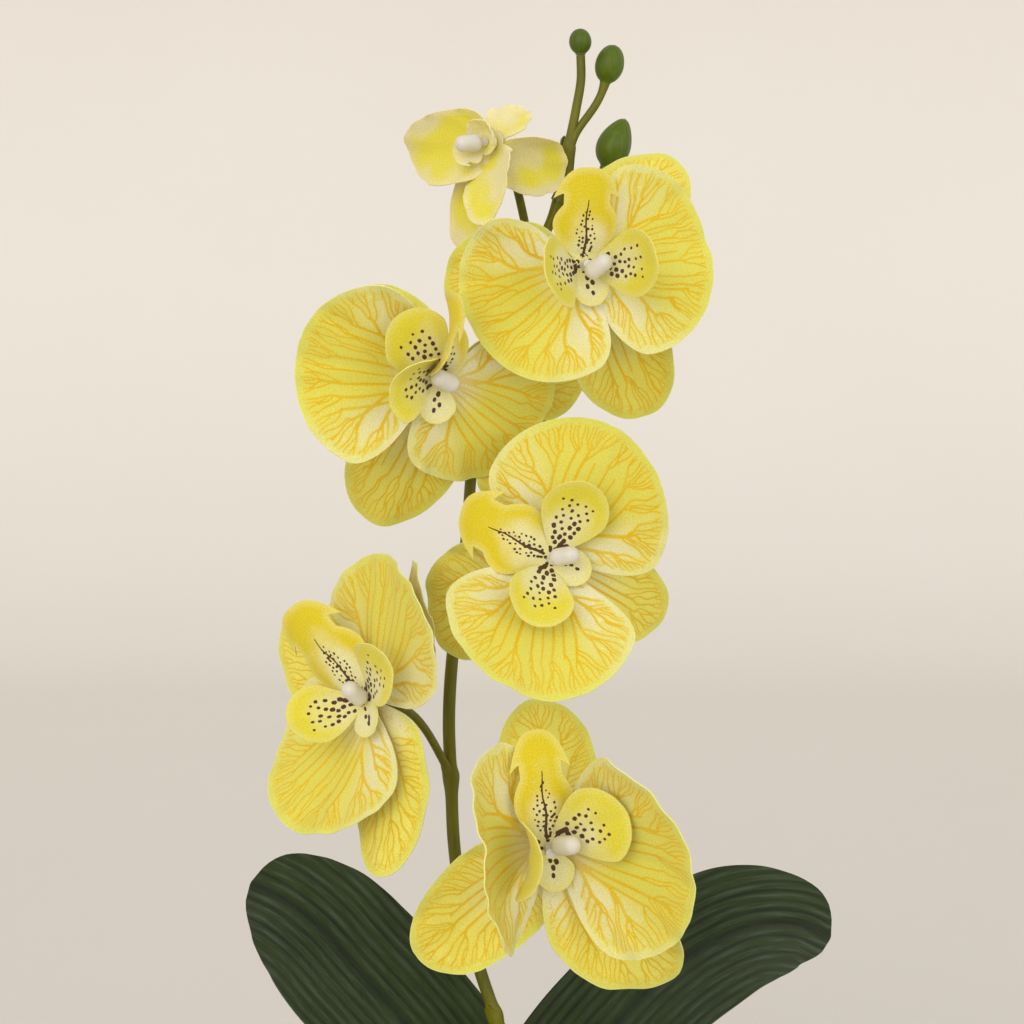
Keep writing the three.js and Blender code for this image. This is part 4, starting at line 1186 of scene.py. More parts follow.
def lip_print(settings):
    """The same woven polyester, with a stronger yellow outwards, nearly white at the foot,
    and the dark dots and the line that lead in to the column."""
    material, t, shader = new_material(
        "printed_polyester_lip", **{**CLOTH, "Roughness": 0.75, "Specular_IOR_Level": 0.25})
    cut, where = on_cloth(t)
    v = wire(t, SPLIT, [wire(t, "ShaderNodeUVMap", uv_map="fan")], out="Y")
    ink = wire(t, "ShaderNodeAttribute", attribute_name="ink", out="Fac")
    edge = wire(t, "ShaderNodeAttribute", attribute_name="edge", out="Fac")
    kind = wire(t, "ShaderNodeAttribute", attribute_name="kind", out="Fac")
    # The yellow starts furthest in on the long lobe and furthest out on the short one.
    cloud = wire(t, NOISE, {"Vector": where, "Scale": 0.9, "Detail": 2.0})
    is_short = wire(t, MATH, [kind, 1.5], operation="GREATER_THAN")
    depth = wire(t, MATH, [cloud, 0.8, v], operation="MULTIPLY_ADD")
    depth = wire(t, MATH, [is_short, -0.5, depth], operation="MULTIPLY_ADD")
    is_side = wire(t, MATH, [kind, 0.5], operation="GREATER_THAN")
    depth = wire(t, MATH, [is_side, -0.1, depth], operation="MULTIPLY_ADD")
    deep = wire(t, RANGE, [depth, 0.55, 1.12, 0.0, 1.0], **SMOOTH)
    outer = wire(t, MIX, {0: is_side, 6: tuple(settings.lip), 7: linear("#e6d93e")}, **BLEND)
    shade = wire(t, MIX, {0: deep, 6: linear("#ebe5ac"), 7: outer}, **BLEND)
    pale_edge = wire(t, RANGE, [edge, 0.1, 2.6, 0.55, 0.0])
    shade = wire(t, MIX, {0: pale_edge, 6: shade, 7: linear("#ebe48c")}, **BLEND)
    uneven = wire(t, NOISE, {"Vector": where, "Scale": 14.0, "Detail": 2.0})
    thread = wire(t, MATH, [uneven, 0.2, wire(t, MATH, [ink, 0.1], operation="SUBTRACT")],
                  operation="MULTIPLY_ADD")
    dark = wire(t, RANGE, [thread, -0.05, 0.07, 0.96, 0.0], **SMOOTH)
    shade = wire(t, MIX, {0: dark, 6: shade, 7: tuple(settings.dots)}, **BLEND)
    dress_cloth(t, shader, cut, shade)
    return material


def plain_petal():
    """The small bloom's polyester has no printed veins: cream with clouds of lemon dye."""
    material, t, shader = new_material("dyed_polyester_small_bloom", **CLOTH)
    cut, where = on_cloth(t)
    edge = wire(t, "ShaderNodeAttribute", attribute_name="edge", out="Fac")
    cloud = wire(t, NOISE, {"Vector": where, "Scale": 0.7, "Detail": 1.0})
    dye = wire(t, RANGE, [cloud, 0.36, 0.62, 0.0, 1.0], **SMOOTH)
    shade = wire(t, MIX, {0: dye, 6: linear("#ece2a8"), 7: linear("#ebe04c")}, **BLEND)
    pale_edge = wire(t, RANGE, [edge, 0.3, 3.0, 0.6, 0.0])
    shade = wire(t, MIX, {0: pale_edge, 6: shade, 7: linear("#f0e6ba")}, **BLEND)
    dress_cloth(t, shader, cut, shade)
    return material


def white_plastic(settings):
    """Soft white vinyl, moulded: a dull shine, with light a little way into it."""
    material, t, shader = new_material("soft_white_vinyl", Roughness=0.38, IOR=1.5,
                                       Subsurface_Weight=0.2, Subsurface_Scale=0.002,
                                       Subsurface_Radius=(1.0, 0.95, 0.9))
    where = wire(t, "ShaderNodeTexCoord", out="Object")
    cloud = wire(t, NOISE, {"Vector": where, "Scale": 260.0, "Detail": 2.0})
    shade = wire(t, MIX, {0: cloud, 6: tuple(settings.column), 7: linear("#d3ccbd")}, **BLEND)
    dress(t, shader, shade, cloud, 0.3, 0.0003)
    return material


def green_plastic(name, colour_now, darker, lighter):
    """Polyethylene moulded over wire: satin, with lighter lengthwise streaks of painted highlight
    along faint flow lines, and a colour that changes slowly from olive to green."""
    material, t, shader = new_material(name, Roughness=0.42, IOR=1.5, Specular_IOR_Level=0.3)
    where = wire(t, "ShaderNodeTexCoord", out="Object")
    slow = wire(t, NOISE, {"Vector": where, "Scale": 28.0, "Detail": 2.0})
    slow = wire(t, RANGE, [slow, 0.35, 0.65, 0.0, 1.0])
    shade = wire(t, MIX, {0: slow, 6: linear(darker), 7: tuple(colour_now)}, **BLEND)
    flow_where = wire(t, "ShaderNodeMapping", {"Vector": where, "Scale": (1.0, 1.0, 0.08)})
    flow = wire(t, NOISE, {"Vector": flow_where, "Scale": 900.0, "Detail": 2.0})
    # Painted highlight: lighter streaks along the length, following the flow lines.
    light = wire(t, RANGE, [flow, 0.5, 0.8, 0.0, 0.35])
    shade = wire(t, MIX, {0: light, 6: shade, 7: linear(lighter)}, **BLEND)
    gloss = wire(t, RANGE, [flow, 0.3, 0.7, 0.34, 0.5])
    dress(t, shader, shade, flow, 0.35, 0.0004, gloss)
    return material


def leaf_fabric(settings):
    """Latex-coated polyester, pressed in a hot mould: a dark green with paler patches and bluish
    streaks of painted sheen, a fine weave that shows through the coat, and ribs that run the
    leaf's length, with painted shade in the furrows between them."""
    material, t, shader = new_material("coated_leaf_fabric", Roughness=0.45, Sheen_Weight=0.1,
                                       Sheen_Roughness=0.4, Specular_IOR_Level=0.4)
    cut = wire(t, "ShaderNodeUVMap", uv_map="cut")
    across = wire(t, SPLIT, [cut], out="X")
    run = wire(t, SPLIT, [cut], out="Y")
    stretched = wire(t, JOIN, [wire(t, MATH, [across, 3.4], operation="MULTIPLY"),
                               wire(t, MATH, [run, 0.25], operation="MULTIPLY"), 0.0])
    ribs = wire(t, NOISE, {"Vector": stretched, "Scale": 1.0, "Detail": 2.0})
    streaks = wire(t, NOISE, {"Vector": stretched, "Scale": 3.1, "Detail": 2.0})
    patches = wire(t, NOISE, {"Vector": cut, "Scale": 0.45, "Detail": 2.0})
    # Paler patches of painted sheen.
    tone = wire(t, RANGE, [patches, 0.4, 0.65, 0.0, 0.75])
    shade = wire(t, MIX, {0: tone, 6: tuple(settings.leaf), 7: tuple(settings.leaf_light)},
                 **BLEND)
    # The pressed ribs stand 3.3 mm apart, as those of the mesh do. Painted shade darkens the
    # furrows between them in streaks, and painted sheen turns their backs a bluish grey, most of
    # all outwards.
    crest = wire(t, MATH, [wire(t, MATH, [across, LEAF_RIBS * 10], operation="MULTIPLY")],
                 operation="COSINE")
    furrow = wire(t, RANGE, [crest, -0.9, 0.3, 1.0, 0.25])
    dark = wire(t, RANGE, [ribs, 0.38, 0.62, 0.2, 0.9])
    dark = wire(t, MATH, [dark, furrow], operation="MULTIPLY")
    shade = wire(t, MIX, {0: dark, 6: shade, 7: linear("#131c06")}, **BLEND)
    crest_sheen = wire(t, RANGE, [streaks, 0.42, 0.66, 0.0, 0.75])
    outwards = wire(t, RANGE, [run, 6.0, 14.0, 0.25, 1.0])
    crest_sheen = wire(t, MATH, [crest_sheen, outwards], operation="MULTIPLY")
    crest_sheen = wire(t, MATH, [crest_sheen, wire(t, RANGE, [crest, -0.2, 0.9, 0.15, 1.0])],
                operation="MULTIPLY")
    shade = wire(t, MIX, {0: crest_sheen, 6: shade, 7: linear("#4f5e50")}, **BLEND)
    # Painted shade darkens the midrib, where the leaf is pressed into a groove.
    midrib_shade = wire(t, RANGE, [wire(t, MATH, [across], operation="ABSOLUTE"), 0.05, 0.16, 0.7, 0.0])
    shade = wire(t, MIX, {0: midrib_shade, 6: shade, 7: linear("#10180a")}, **BLEND)
    gloss = wire(t, RANGE, [patches, 0.3, 0.7, 0.36, 0.55])
    height = wire(t, MATH, [streaks, 5.0, weave(t, cut, 22)], operation="MULTIPLY_ADD")
    dress(t, shader, shade, height, 0.8, 0.00016, gloss)
    return material


def pot_glaze(settings):
    """Earthenware under a white glaze: smooth and glossy, with a slow waviness from the wheel
    and a few pinholes."""
    material, t, shader = new_material("white_glazed_earthenware", Roughness=0.22, IOR=1.5,
                                       Coat_Weight=0.4, Coat_Roughness=0.08)
    where = wire(t, "ShaderNodeTexCoord", out="Object")
    slow = wire(t, NOISE, {"Vector": where, "Scale": 18.0, "Detail": 3.0})
    tone = wire(t, RANGE, [slow, 0.35, 0.65, 0.0, 0.6])
    shade = wire(t, MIX, {0: tone, 6: tuple(settings.glaze), 7: linear("#e0dacb")}, **BLEND)
    pin = wire(t, VORONOI, {"Vector": where, "Scale": 160.0})
    pin = wire(t, RANGE, [pin, 0.05, 0.09, 0.5, 0.0])
    shade = wire(t, MIX, {0: pin, 6: shade, 7: linear("#b3a78f")}, **BLEND)
    gloss = wire(t, RANGE, [slow, 0.3, 0.7, 0.18, 0.3])
    rings = wire(t, "ShaderNodeMapping", {"Vector": where, "Scale": (8.0, 8.0, 140.0)})
    wheel = wire(t, NOISE, {"Vector": rings, "Scale": 1.0, "Detail": 1.0})
    dress(t, shader, shade, wheel, 0.35, 0.0006, gloss)
    return material


def bark_wood(settings):
    """Pine bark, broken and dried: matt, layered, from dark brown to tan."""
    material, t, shader = new_material("pine_bark", Roughness=0.9, Specular_IOR_Level=0.2)
    where = wire(t, "ShaderNodeTexCoord", out="Object")
    layers = wire(t, "ShaderNodeMapping", {"Vector": where, "Scale": (1.0, 1.0, 3.0),
                                           "Rotation": (0.4, 0.3, 0.0)})
    grain = wire(t, NOISE, {"Vector": layers, "Scale": 420.0, "Detail": 4.0})
    blocks = wire(t, VORONOI, {"Vector": where, "Scale": 110.0}, out="Color")
    pick = wire(t, SPLIT, [blocks], out="X")
    pick = wire(t, MATH, [pick, wire(t, MATH, [grain, 0.5], operation="MULTIPLY")],
                operation="MULTIPLY")
    shade = wire(t, MIX, {0: pick, 6: tuple(settings.bark), 7: tuple(settings.bark_light)},
                 **BLEND)
    dress(t, shader, shade, grain, 0.8, 0.0008)
    return material


# ---------------------------------------------------------------------------
# Operators, one for each group of like pieces
# ---------------------------------------------------------------------------

class ORCHID_OT_sepals_and_petals(bpy.types.Operator):
    """Cut, print and bend the sepals and petals of every bloom"""
    bl_idname = "orchid.sepals_and_petals"
    bl_label = "Sepals and petals"

    def execute(self, context):
        settings = context.scene.orchid_blooms
        sheet, ripple = settings.sheet / MM, settings.ripple / MM
        # The sepals' ground is painted paler than the petals' to offset the shade that the petals
        # cast on them.
        prints = {
            "sepals": petal_print("printed_polyester_sepal", settings, settings.sepal, False),
            "petals": petal_print("printed_polyester_petal", settings, settings.lemon, True),
        }
        small = plain_petal()
        seed = 0
        for spec in BLOOMS:
            matrix = bloom_matrix(spec)
            bare = spec["name"] == UNPRINTED
            for layer, basic, below in (("sepals", SEPAL, SEPALS_BELOW), ("petals", PETAL, 0)):
                hub = printed_sheet(ring_outline(HUB_RADIUS), NO_STROKES, flat_surface, sheet,
                                    hub_marks_plain(1))
                parts = [in_bloom(hub, matrix, -below)]
                for k, own in enumerate(spec[layer]):
                    seed += 1
                    shape = whole(basic, own)
                    outline = lobe_outline(shape, seed, own.get("fray", 0.35 if bare else 0.12))
                    veins = NO_STROKES if bare else lobe_veins(shape, seed, layer == "petals")
                    part = printed_sheet(outline, veins, lobe_surface(shape, seed, ripple),
                                         sheet, lobe_marks(shape, seed, own.get("undyed", 0)))
                    parts.append(in_bloom(part, matrix, 0.05 * (k + 1) - below))
                name = f"{spec['name']}_{layer}"
                material = small if bare else prints[layer]
                make_piece(f"printed_{name}", merged(parts), material, [name])
        return {"FINISHED"}


class ORCHID_OT_lips(bpy.types.Operator):
    """Cut, print and bend the lip of every bloom"""
    bl_idname = "orchid.lips"
    bl_label = "Lips"

    def execute(self, context):
        settings = context.scene.orchid_blooms
        sheet = settings.sheet / MM
        lip = lip_print(settings)
        small = plain_petal()
        for number, spec in enumerate(BLOOMS):
            matrix = bloom_matrix(spec)
            seed = 40 + 5 * number
            bare = spec["name"] == UNPRINTED
            long = whole(LIP_LONG, spec["long"])
            left, right = whole(LIP_SIDE, spec["left"]), whole(LIP_SIDE, spec["right"])
            short = whole(LIP_SHORT, {"at": 0, **spec.get("short", {})})
            sheets = [
                (ring_outline(HUB_RADIUS), hub_marks(seed), flat_surface, hub_marks_plain(2)),
                (fluke_outline(long), long_marks(long, seed), fluke_surface(long),
                 lobe_marks(long, seed, 0)),
                (lobe_outline(left, seed + 1, 0.06), side_dots(left, seed + 1),
                 lobe_surface(left, seed + 1, 0.1), lobe_marks(left, seed + 1, 1)),
                (lobe_outline(right, seed + 2, 0.06), side_dots(right, seed + 2),
                 lobe_surface(right, seed + 2, 0.1), lobe_marks(right, seed + 2, 1)),
                (lobe_outline(short, seed + 3, 0.04), short_dots(short, seed + 3),
                 lobe_surface(short, seed + 3, 0.05), lobe_marks(short, seed + 3, 2)),
            ]
            parts = []
            for k, (outline, strokes, surface, marks) in enumerate(sheets):
                part = printed_sheet(outline, NO_STROKES if bare else strokes, surface, sheet,
                                     marks, 1.4)
                parts.append(in_bloom(part, matrix, LIP_ABOVE + 0.03 * k))
            # The boss that the lip sits on.
            points, faces, _ = turned([
                (0, -BOSS_DEPTH), (BOSS_RADIUS - 0.1, -BOSS_DEPTH),
                (BOSS_RADIUS, 0.2 - BOSS_DEPTH), (BOSS_RADIUS, -0.2), (0, -0.1)], 20)
            held = {"cut": points[:, :2] / 10, "ink": np.full(len(points), INK_REACH),
                    "edge": np.full(len(points), EDGE_REACH), **hub_marks_plain(1)(points)}
            parts.append(in_bloom((points, faces, held), matrix, LIP_ABOVE))
            name = f"{spec['name']}_lip"
            make_piece(f"printed_{name}", merged(parts), small if bare else lip, [name])
        return {"FINISHED"}


class ORCHID_OT_columns(bpy.types.Operator):
    """Mould the white column in the middle of every bloom"""
    bl_idname = "orchid.columns"
    bl_label = "Columns"

    def execute(self, context):
        vinyl = white_plastic(context.scene.orchid_blooms)
        straight = COLUMN_LENGTH - 2 * COLUMN_RADIUS
        arc = np.linspace(0, math.pi / 2, 9)
        lower = [(COLUMN_RADIUS * math.sin(a), -COLUMN_RADIUS * math.cos(a)) for a in arc]
        upper = [(COLUMN_RADIUS * 0.97 * math.cos(a), straight + COLUMN_RADIUS * math.sin(a))
                 for a in arc]
        for spec in BLOOMS:
            matrix = bloom_matrix(spec)
            shape = spec["column"]
            points, faces, extras = turned(lower + upper, 28)
            # The cap at the tip is set off by a shallow groove.
            tip = np.exp(-((points[:, 2] - straight * 0.75) / 0.35) ** 2)
            points[:, :2] *= (1 - 0.07 * tip)[:, None]
            points = placed(points, Matrix.Translation(shape["base"])
                            @ Matrix.Rotation(math.radians(shape["at"]), 4, "Z")
                            @ Matrix.Rotation(-math.radians(shape["lean"]), 4, "X"))
            seat = LIP_ABOVE + 0.65
            high = shape["base"][2]
            foot = turned([(0, seat), (COLUMN_FOOT_RADIUS, seat),
                           (COLUMN_FOOT_RADIUS * 0.8, seat + 1),
                           (COLUMN_FOOT_RADIUS * 0.9, high), (0, high)], 20)
            parts = [in_bloom(part, matrix, 0) for part in ((points, faces, extras), foot)]
            name = f"{spec['name']}_column"
            make_piece(f"moulded_{name}", merged(parts), vinyl, [name])
        return {"FINISHED"}


class ORCHID_OT_buds(bpy.types.Operator):
    """Mould the closed buds"""
    bl_idname = "orchid.buds"
    bl_label = "Buds"

    def execute(self, context):
        settings = context.scene.orchid_plant
        plastic = green_plastic("moulded_green_bud", settings.bud, "#46590c", "#6f8030")
        for spec in BUDS:
            shares = np.linspace(0, 1, 26)
            belly = 2 * spec["radius"] * np.sqrt(shares * (1 - shares))
            belly = belly * (1 - spec["taper"] * shares ** 2)
            radii = np.maximum(belly, BUD_FOOT_RADIUS * (1 - shares))
            profile = [(0, 0)] + list(zip(radii[:-1], shares[:-1] * spec["length"]))
            profile.append((0, spec["length"]))
            points, faces, extras = turned(profile, 48)
            # Three closed petals meet in soft furrows that deepen towards the tip.
            turn = np.arctan2(points[:, 1], points[:, 0])
            high = np.clip(points[:, 2] / spec["length"], 0, 1)
            furrow = np.abs(np.sin(1.5 * turn + 0.6)) ** 0.5
            squeeze = 1 - 0.13 * (1 - furrow) * smoothstep(high, 0.25, 0.85)
            points[:, :2] *= squeeze[:, None]
            turn_up = Vector((0, 0, 1)).rotation_difference(Vector(spec["points"]))
            matrix = Matrix.Translation(spec["foot"]) @ turn_up.to_matrix().to_4x4()
            make_piece(f"moulded_{spec['name']}", (placed(points, matrix), faces, extras),
                       plastic, [spec["name"]])
        return {"FINISHED"}


def at_height(line, height):
    """The point of a rising polyline at a height."""
    return np.array([np.interp(height, line[:, 2], line[:, k]) for k in range(3)])


class ORCHID_OT_spike(bpy.types.Operator):
    """Mould the flower spike with its stalks, nodes and scales"""
    bl_idname = "orchid.spike"
    bl_label = "Flower spike"

    def execute(self, context):
        settings = context.scene.orchid_plant
        plastic = green_plastic("moulded_olive_stem", settings.stem, "#53530a", "#82822e")
        line = smooth_line(SPIKE_PATH)
        shares = np.linspace(0, 1, 420)
        path, _ = along(line, shares)
        radii = []
        for share, point in zip(shares, path):
            above = [(point[2] - node) for node in NODES]
            swell = max(math.exp(-(h / (2.2 if h > 0 else 4.5)) ** 2) for h in above)
            base = SPIKE_RADIUS + (SPIKE_TIP_RADIUS - SPIKE_RADIUS) * max(0, share * 2 - 1)
            radii.append(base + NODE_SWELL * swell)
        turn = np.linspace(0, 2 * math.pi, 24, endpoint=False)
        ridges = 1 + 0.025 * np.sin(5 * turn)
        parts = [tube_shell(path, [r * ridges for r in radii], 24)]
        for stalk in STALKS:
            parts.append(self.stalk(line, stalk))
        for number, node in enumerate(NODES):
            parts.append(self.scale(line, node, number))
        make_piece("moulded_flower_spike", merged(parts), plastic, ["flower_spike"])
        return {"FINISHED"}

    def stalk(self, line, spec):
        """A stalk that leaves the spike upwards and arrives along its bloom's or bud's axis."""
        start = at_height(line, spec["start"])
        radius, cup = STALK_RADIUS, CUP_RADIUS
        if "bloom" in spec:
            matrix = bloom_matrix(BLOOMS[spec["bloom"]])
            ahead = np.array((matrix.to_3x3() @ Vector((0, 0, 1))).normalized())
            seat = Vector((0, 0, -SEPALS_BELOW - 0.5))
            end = np.array(matrix @ seat) - 0.1 * ahead
        else:
            bud = BUDS[spec["bud"]]
            ahead = np.array(Vector(bud["points"]).normalized())
            end = np.array(bud["foot"])
            radius, cup = STALK_RADIUS * 0.95, BUD_FOOT_RADIUS
        span = np.linalg.norm(end - start)
        leave = start + (end - start) * 0.3 + np.array((0, 0, 0.12 * span))
        arrive = end - ahead * spec.get("approach", 0.4) * span
        path = bezier(start, leave, arrive, end, 60)
        left = np.linalg.norm(path - end, axis=1)
        flare = np.clip(1 - left / CUP_LENGTH, 0, 1) ** 1.5
        from_spike = np.linalg.norm(path - start, axis=1)
        root = 0.5 * np.exp(-(from_spike / 3.5) ** 2)
        return tube_shell(path, radius + (cup - radius) * flare + root, 18)

    def scale(self, line, node, number):
        """A small pointed scale that hugs the spike under a node."""
        centre = at_height(line, node - 1.2)
        tilt = (at_height(line, node + 2) - at_height(line, node - 2)) / 4
        tilt = tilt / np.linalg.norm(tilt)
        facing = 1.1 + 2.4 * number
        reach_up, radius = 5.2, SPIKE_RADIUS + 0.75

        def surface(u, v):
            turn = facing + (u - 0.5) * 2.6 * (1 - np.abs(v) ** 1.6 * 0.96)
            out = radius * (0.93 + 0.22 * v ** 2)
            spot = np.stack([out * np.cos(turn), out * np.sin(turn), v * reach_up], axis=1)
            side = np.cross(tilt, (0, 1, 0))
            side /= np.linalg.norm(side)
            other = np.cross(tilt, side)
            return (centre + spot[:, :1] * side + spot[:, 1:2] * other + spot[:, 2:] * tilt)

        return grid_shell(surface, 10, 10, 0.45,
                          lambda u, v: {"cut": np.stack([u, v], axis=1)})


class ORCHID_OT_leaves(bpy.types.Operator):
    """Press the strap leaves"""
    bl_idname = "orchid.leaves"
    bl_label = "Leaves"

    def execute(self, context):
        settings = context.scene.orchid_plant
        fabric = leaf_fabric(settings)
        for spec in LEAVES:
            part = self.leaf(spec, settings.leaf_sheet / MM)
            make_piece(f"pressed_{spec['name']}", part, fabric, [spec["name"]])
        return {"FINISHED"}

    def leaf(self, spec, thickness):
        x, y = spec["foot"]
        upright = [(x, y, LEAF_FOOT_DEPTH), (x, y, LEAF_BEND_FROM)]
        risen = [(x, y, LEAF_BEND_FROM), (x, y, LEAF_BEND_FROM + 4)] + spec["rib"]
        line = np.concatenate([np.linspace(*np.array(upright, float), 30)[:-1],
                               smooth_line(risen)])
        looks = np.array(spec["looks"], float)

        def place(u, v):
            centre, tangent = along(line, v)
            grown = smoothstep(centre[:, 2], LEAF_BEND_FROM - 4, LEAF_BEND_FROM + 22)
            face = looks - tangent * (tangent @ looks)[:, None]
            face /= np.linalg.norm(face, axis=1, keepdims=True)
            across = np.cross(tangent, face)
            blunt = np.sqrt(np.maximum(0, 1 - np.maximum(0, (v - 0.62) / 0.38) ** 2.6))
            width = LEAF_FOOT_WIDTH + (spec["width"] - LEAF_FOOT_WIDTH) * grown ** 2
            side = (2 * u - 1) * np.maximum(width * blunt / 2, 0.2)
            lift = np.abs(side) * math.tan(math.radians(spec["fold"])) * grown * 0.5
            lift = np.sqrt(lift ** 2 + 0.09) - 0.3
            ribs = 0.24 * np.cos(side * LEAF_RIBS) * grown * np.sqrt(np.maximum(0, 1 - v))
            groove = -0.6 * np.exp(-(side / 0.9) ** 2) * grown * smoothstep(1 - v, 0, 0.1)
            edge = 0.5 * np.sin(v * 34) * (np.abs(2 * u - 1) ** 4) * grown * blunt
            lift = lift + ribs + groove + edge
            return centre + across * side[:, None] + face * lift[:, None], side

        def surface(u, v):
            return place(u, np.clip(v, 0, 1))[0]

        total = np.linalg.norm(np.diff(line, axis=0), axis=1).sum()

        def extras(u, v):
            side = place(u, v)[1]
            return {"cut": np.stack([side / 10, v * total / 10], axis=1)}

        return grid_shell(surface, 56, 110, thickness, extras)


class ORCHID_OT_pot(bpy.types.Operator):
    """Throw and glaze the pot"""
    bl_idname = "orchid.pot"
    bl_label = "Pot"

    def execute(self, context):
        glaze = pot_glaze(context.scene.orchid_pot)
        slope = (POT_TOP_RADIUS - POT_FOOT_RADIUS) / POT_HEIGHT
        outer = lambda z: POT_FOOT_RADIUS + slope * z
        inner = lambda z: outer(z) - POT_WALL
        shoulder = POT_HEIGHT - RIM_ROUND
        # A flat underside with a rounded edge, then the wall, the rim and the inside.
        profile = [(0, 0), (20, 0), (36, 0), (38.6, 0), (40.1, 0.25), (40.9, 0.9)]
        profile.append((outer(1.9), 1.9))
        profile += [(outer(z), z) for z in np.linspace(4, shoulder - 1, 24)]
        middle = POT_TOP_RADIUS - POT_WALL / 2
        for a in np.linspace(0, math.pi, 15):
            profile.append((middle - 0.3 + (POT_WALL / 2 - 0.05) * math.cos(a),
                            shoulder + RIM_ROUND * math.sin(a)))
        profile += [(inner(z), z) for z in np.linspace(shoulder - 1, POT_FLOOR + 2, 12)]
        profile += [(inner(POT_FLOOR) - 1, POT_FLOOR + 0.4), (inner(POT_FLOOR) - 3, POT_FLOOR),
                    (0, POT_FLOOR)]
        make_piece("glazed_pot", turned(profile, 128), glaze, ["pot"])
        return {"FINISHED"}


def chip_tree():
    """Scatters chips over the bed: each is a small block, stretched, turned and then knocked
    out of shape by a noise that follows its place."""
    tree = bpy.data.node_groups.new("bark_chips", "GeometryNodeTree")
    face = tree.interface
    face.new_socket("Geometry", in_out="INPUT", socket_type="NodeSocketGeometry")
    for name, kind, value in (("Chip length", "NodeSocketFloat", 0.011),
                              ("Spacing", "NodeSocketFloat", 0.0052),
                              ("Roughness", "NodeSocketFloat", 0.0016),
                              ("Seed", "NodeSocketInt", 4),
                              ("Bark", "NodeSocketMaterial", None)):
        socket = face.new_socket(name, in_out="INPUT", socket_type=kind)
        if value is not None:
            socket.default_value = value
    face.new_socket("Geometry", in_out="OUTPUT", socket_type="NodeSocketGeometry")
    inputs = tree.nodes.new("NodeGroupInput").outputs
    scatter = tree.nodes.new("GeometryNodeDistributePointsOnFaces")
    scatter.distribute_method = "POISSON"
    tree.links.new(inputs["Geometry"], scatter.inputs["Mesh"])
    tree.links.new(inputs["Spacing"], scatter.inputs["Distance Min"])
    scatter.inputs["Density Max"].default_value = 60000
    tree.links.new(inputs["Seed"], scatter.inputs["Seed"])
    block = wire(tree, "GeometryNodeMeshCube", {"Size": (1.0, 0.62, 0.34), "Vertices X": 4,
                                                "Vertices Y": 3, "Vertices Z": 2})
    turn = wire(tree, "FunctionNodeRandomValue", {0: (-0.5, -0.5, 0.0), 1: (0.5, 0.5, 6.283)},
                data_type="FLOAT_VECTOR")
    tree.links.new(inputs["Seed"], turn.node.inputs["Seed"])
    size = wire(tree, "FunctionNodeRandomValue", {2: 0.55, 3: 1.25}, out=1, data_type="FLOAT")
    tree.links.new(inputs["Seed"], size.node.inputs["Seed"])
    size = wire(tree, MATH, [size, inputs["Chip length"]], operation="MULTIPLY")
    chips = wire(tree, "GeometryNodeInstanceOnPoints", {
        "Points": scatter.outputs["Points"], "Instance": block, "Rotation": turn, "Scale": size})
    chips = wire(tree, "GeometryNodeRealizeInstances", [chips])
    place = wire(tree, "GeometryNodeInputPosition")
    noise = wire(tree, NOISE, {"Vector": place, "Scale": 190.0, "Detail": 1.0}, out="Color")
    shift = wire(tree, "ShaderNodeVectorMath", [noise, (0.5, 0.5, 0.5)], operation="SUBTRACT")
    rough = wire(tree, MATH, [inputs["Roughness"], 3.2], operation="MULTIPLY")
    shift = wire(tree, "ShaderNodeVectorMath", {0: shift, "Scale": rough}, operation="SCALE")
    chips = wire(tree, "GeometryNodeSetPosition", {"Geometry": chips, "Offset": shift})
    chips = wire(tree, "GeometryNodeSetMaterial", {"Geometry": chips,
                                                   "Material": inputs["Bark"]})
    out = tree.nodes.new("NodeGroupOutput")
    tree.links.new(chips, out.inputs["Geometry"])
    return tree


class ORCHID_OT_bark(bpy.types.Operator):
    """Fill the pot with bark"""
    bl_idname = "orchid.bark"
    bl_label = "Bark"

    def execute(self, context):
        settings = context.scene.orchid_pot
        wood = bark_wood(settings)
        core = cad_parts["potting_bark"]
        core.data.materials.clear()
        core.data.materials.append(wood)
        # The bed that the chips are scattered on leaves out what grows through it.
        keep_off = [spec["foot"] for spec in LEAVES] + [SPIKE_IN_BED]
        step = BED_STEP
        tree = chip_tree()
        bed = bmesh.new()
        ticks = np.arange(-BED_RADIUS, BED_RADIUS, step)
        for x in ticks:
            for y in ticks:
                middle = (x + step / 2, y + step / 2)
                if math.hypot(*middle) > BED_RADIUS:
                    continue
                if any(math.dist(middle, foot) < BED_CLEARING for foot in keep_off):
                    continue
                corners = [(x, y), (x + step, y), (x + step, y + step), (x, y + step)]
                height = BARK_TOP + 1.2 + 0.8 * math.sin(x * 0.21) * math.cos(y * 0.17)
                bed.faces.new([bed.verts.new((a * MM, b * MM, height * MM)) for a, b in corners])
        bmesh.ops.remove_doubles(bed, verts=bed.verts, dist=1e-6)
        mesh = bpy.data.meshes.new("bark_bed")
        bed.to_mesh(mesh)
        bed.free()
        holder = bpy.data.objects.new("bark_bed", mesh)
        context.scene.collection.objects.link(holder)
        modifier = holder.modifiers.new("chips", "NODES")
        modifier.node_group = tree
        values = {"Chip length": settings.chip, "Spacing": settings.spacing,
                  "Seed": settings.seed, "Bark": wood}
        for item in tree.interface.items_tree:
            if item.in_out == "INPUT" and item.name in values:
                modifier[item.identifier] = values[item.name]
        context.view_layer.update()
        graph = context.evaluated_depsgraph_get()
        chips = bpy.data.meshes.new_from_object(holder.evaluated_get(graph))
        bpy.data.objects.remove(holder)
        obj = bpy.data.objects.new("bark_chips", chips)
        context.scene.collection.objects.link(obj)
        if not chips.materials:
            chips.materials.append(wood)
        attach(obj, "root")
        return {"FINISHED"}


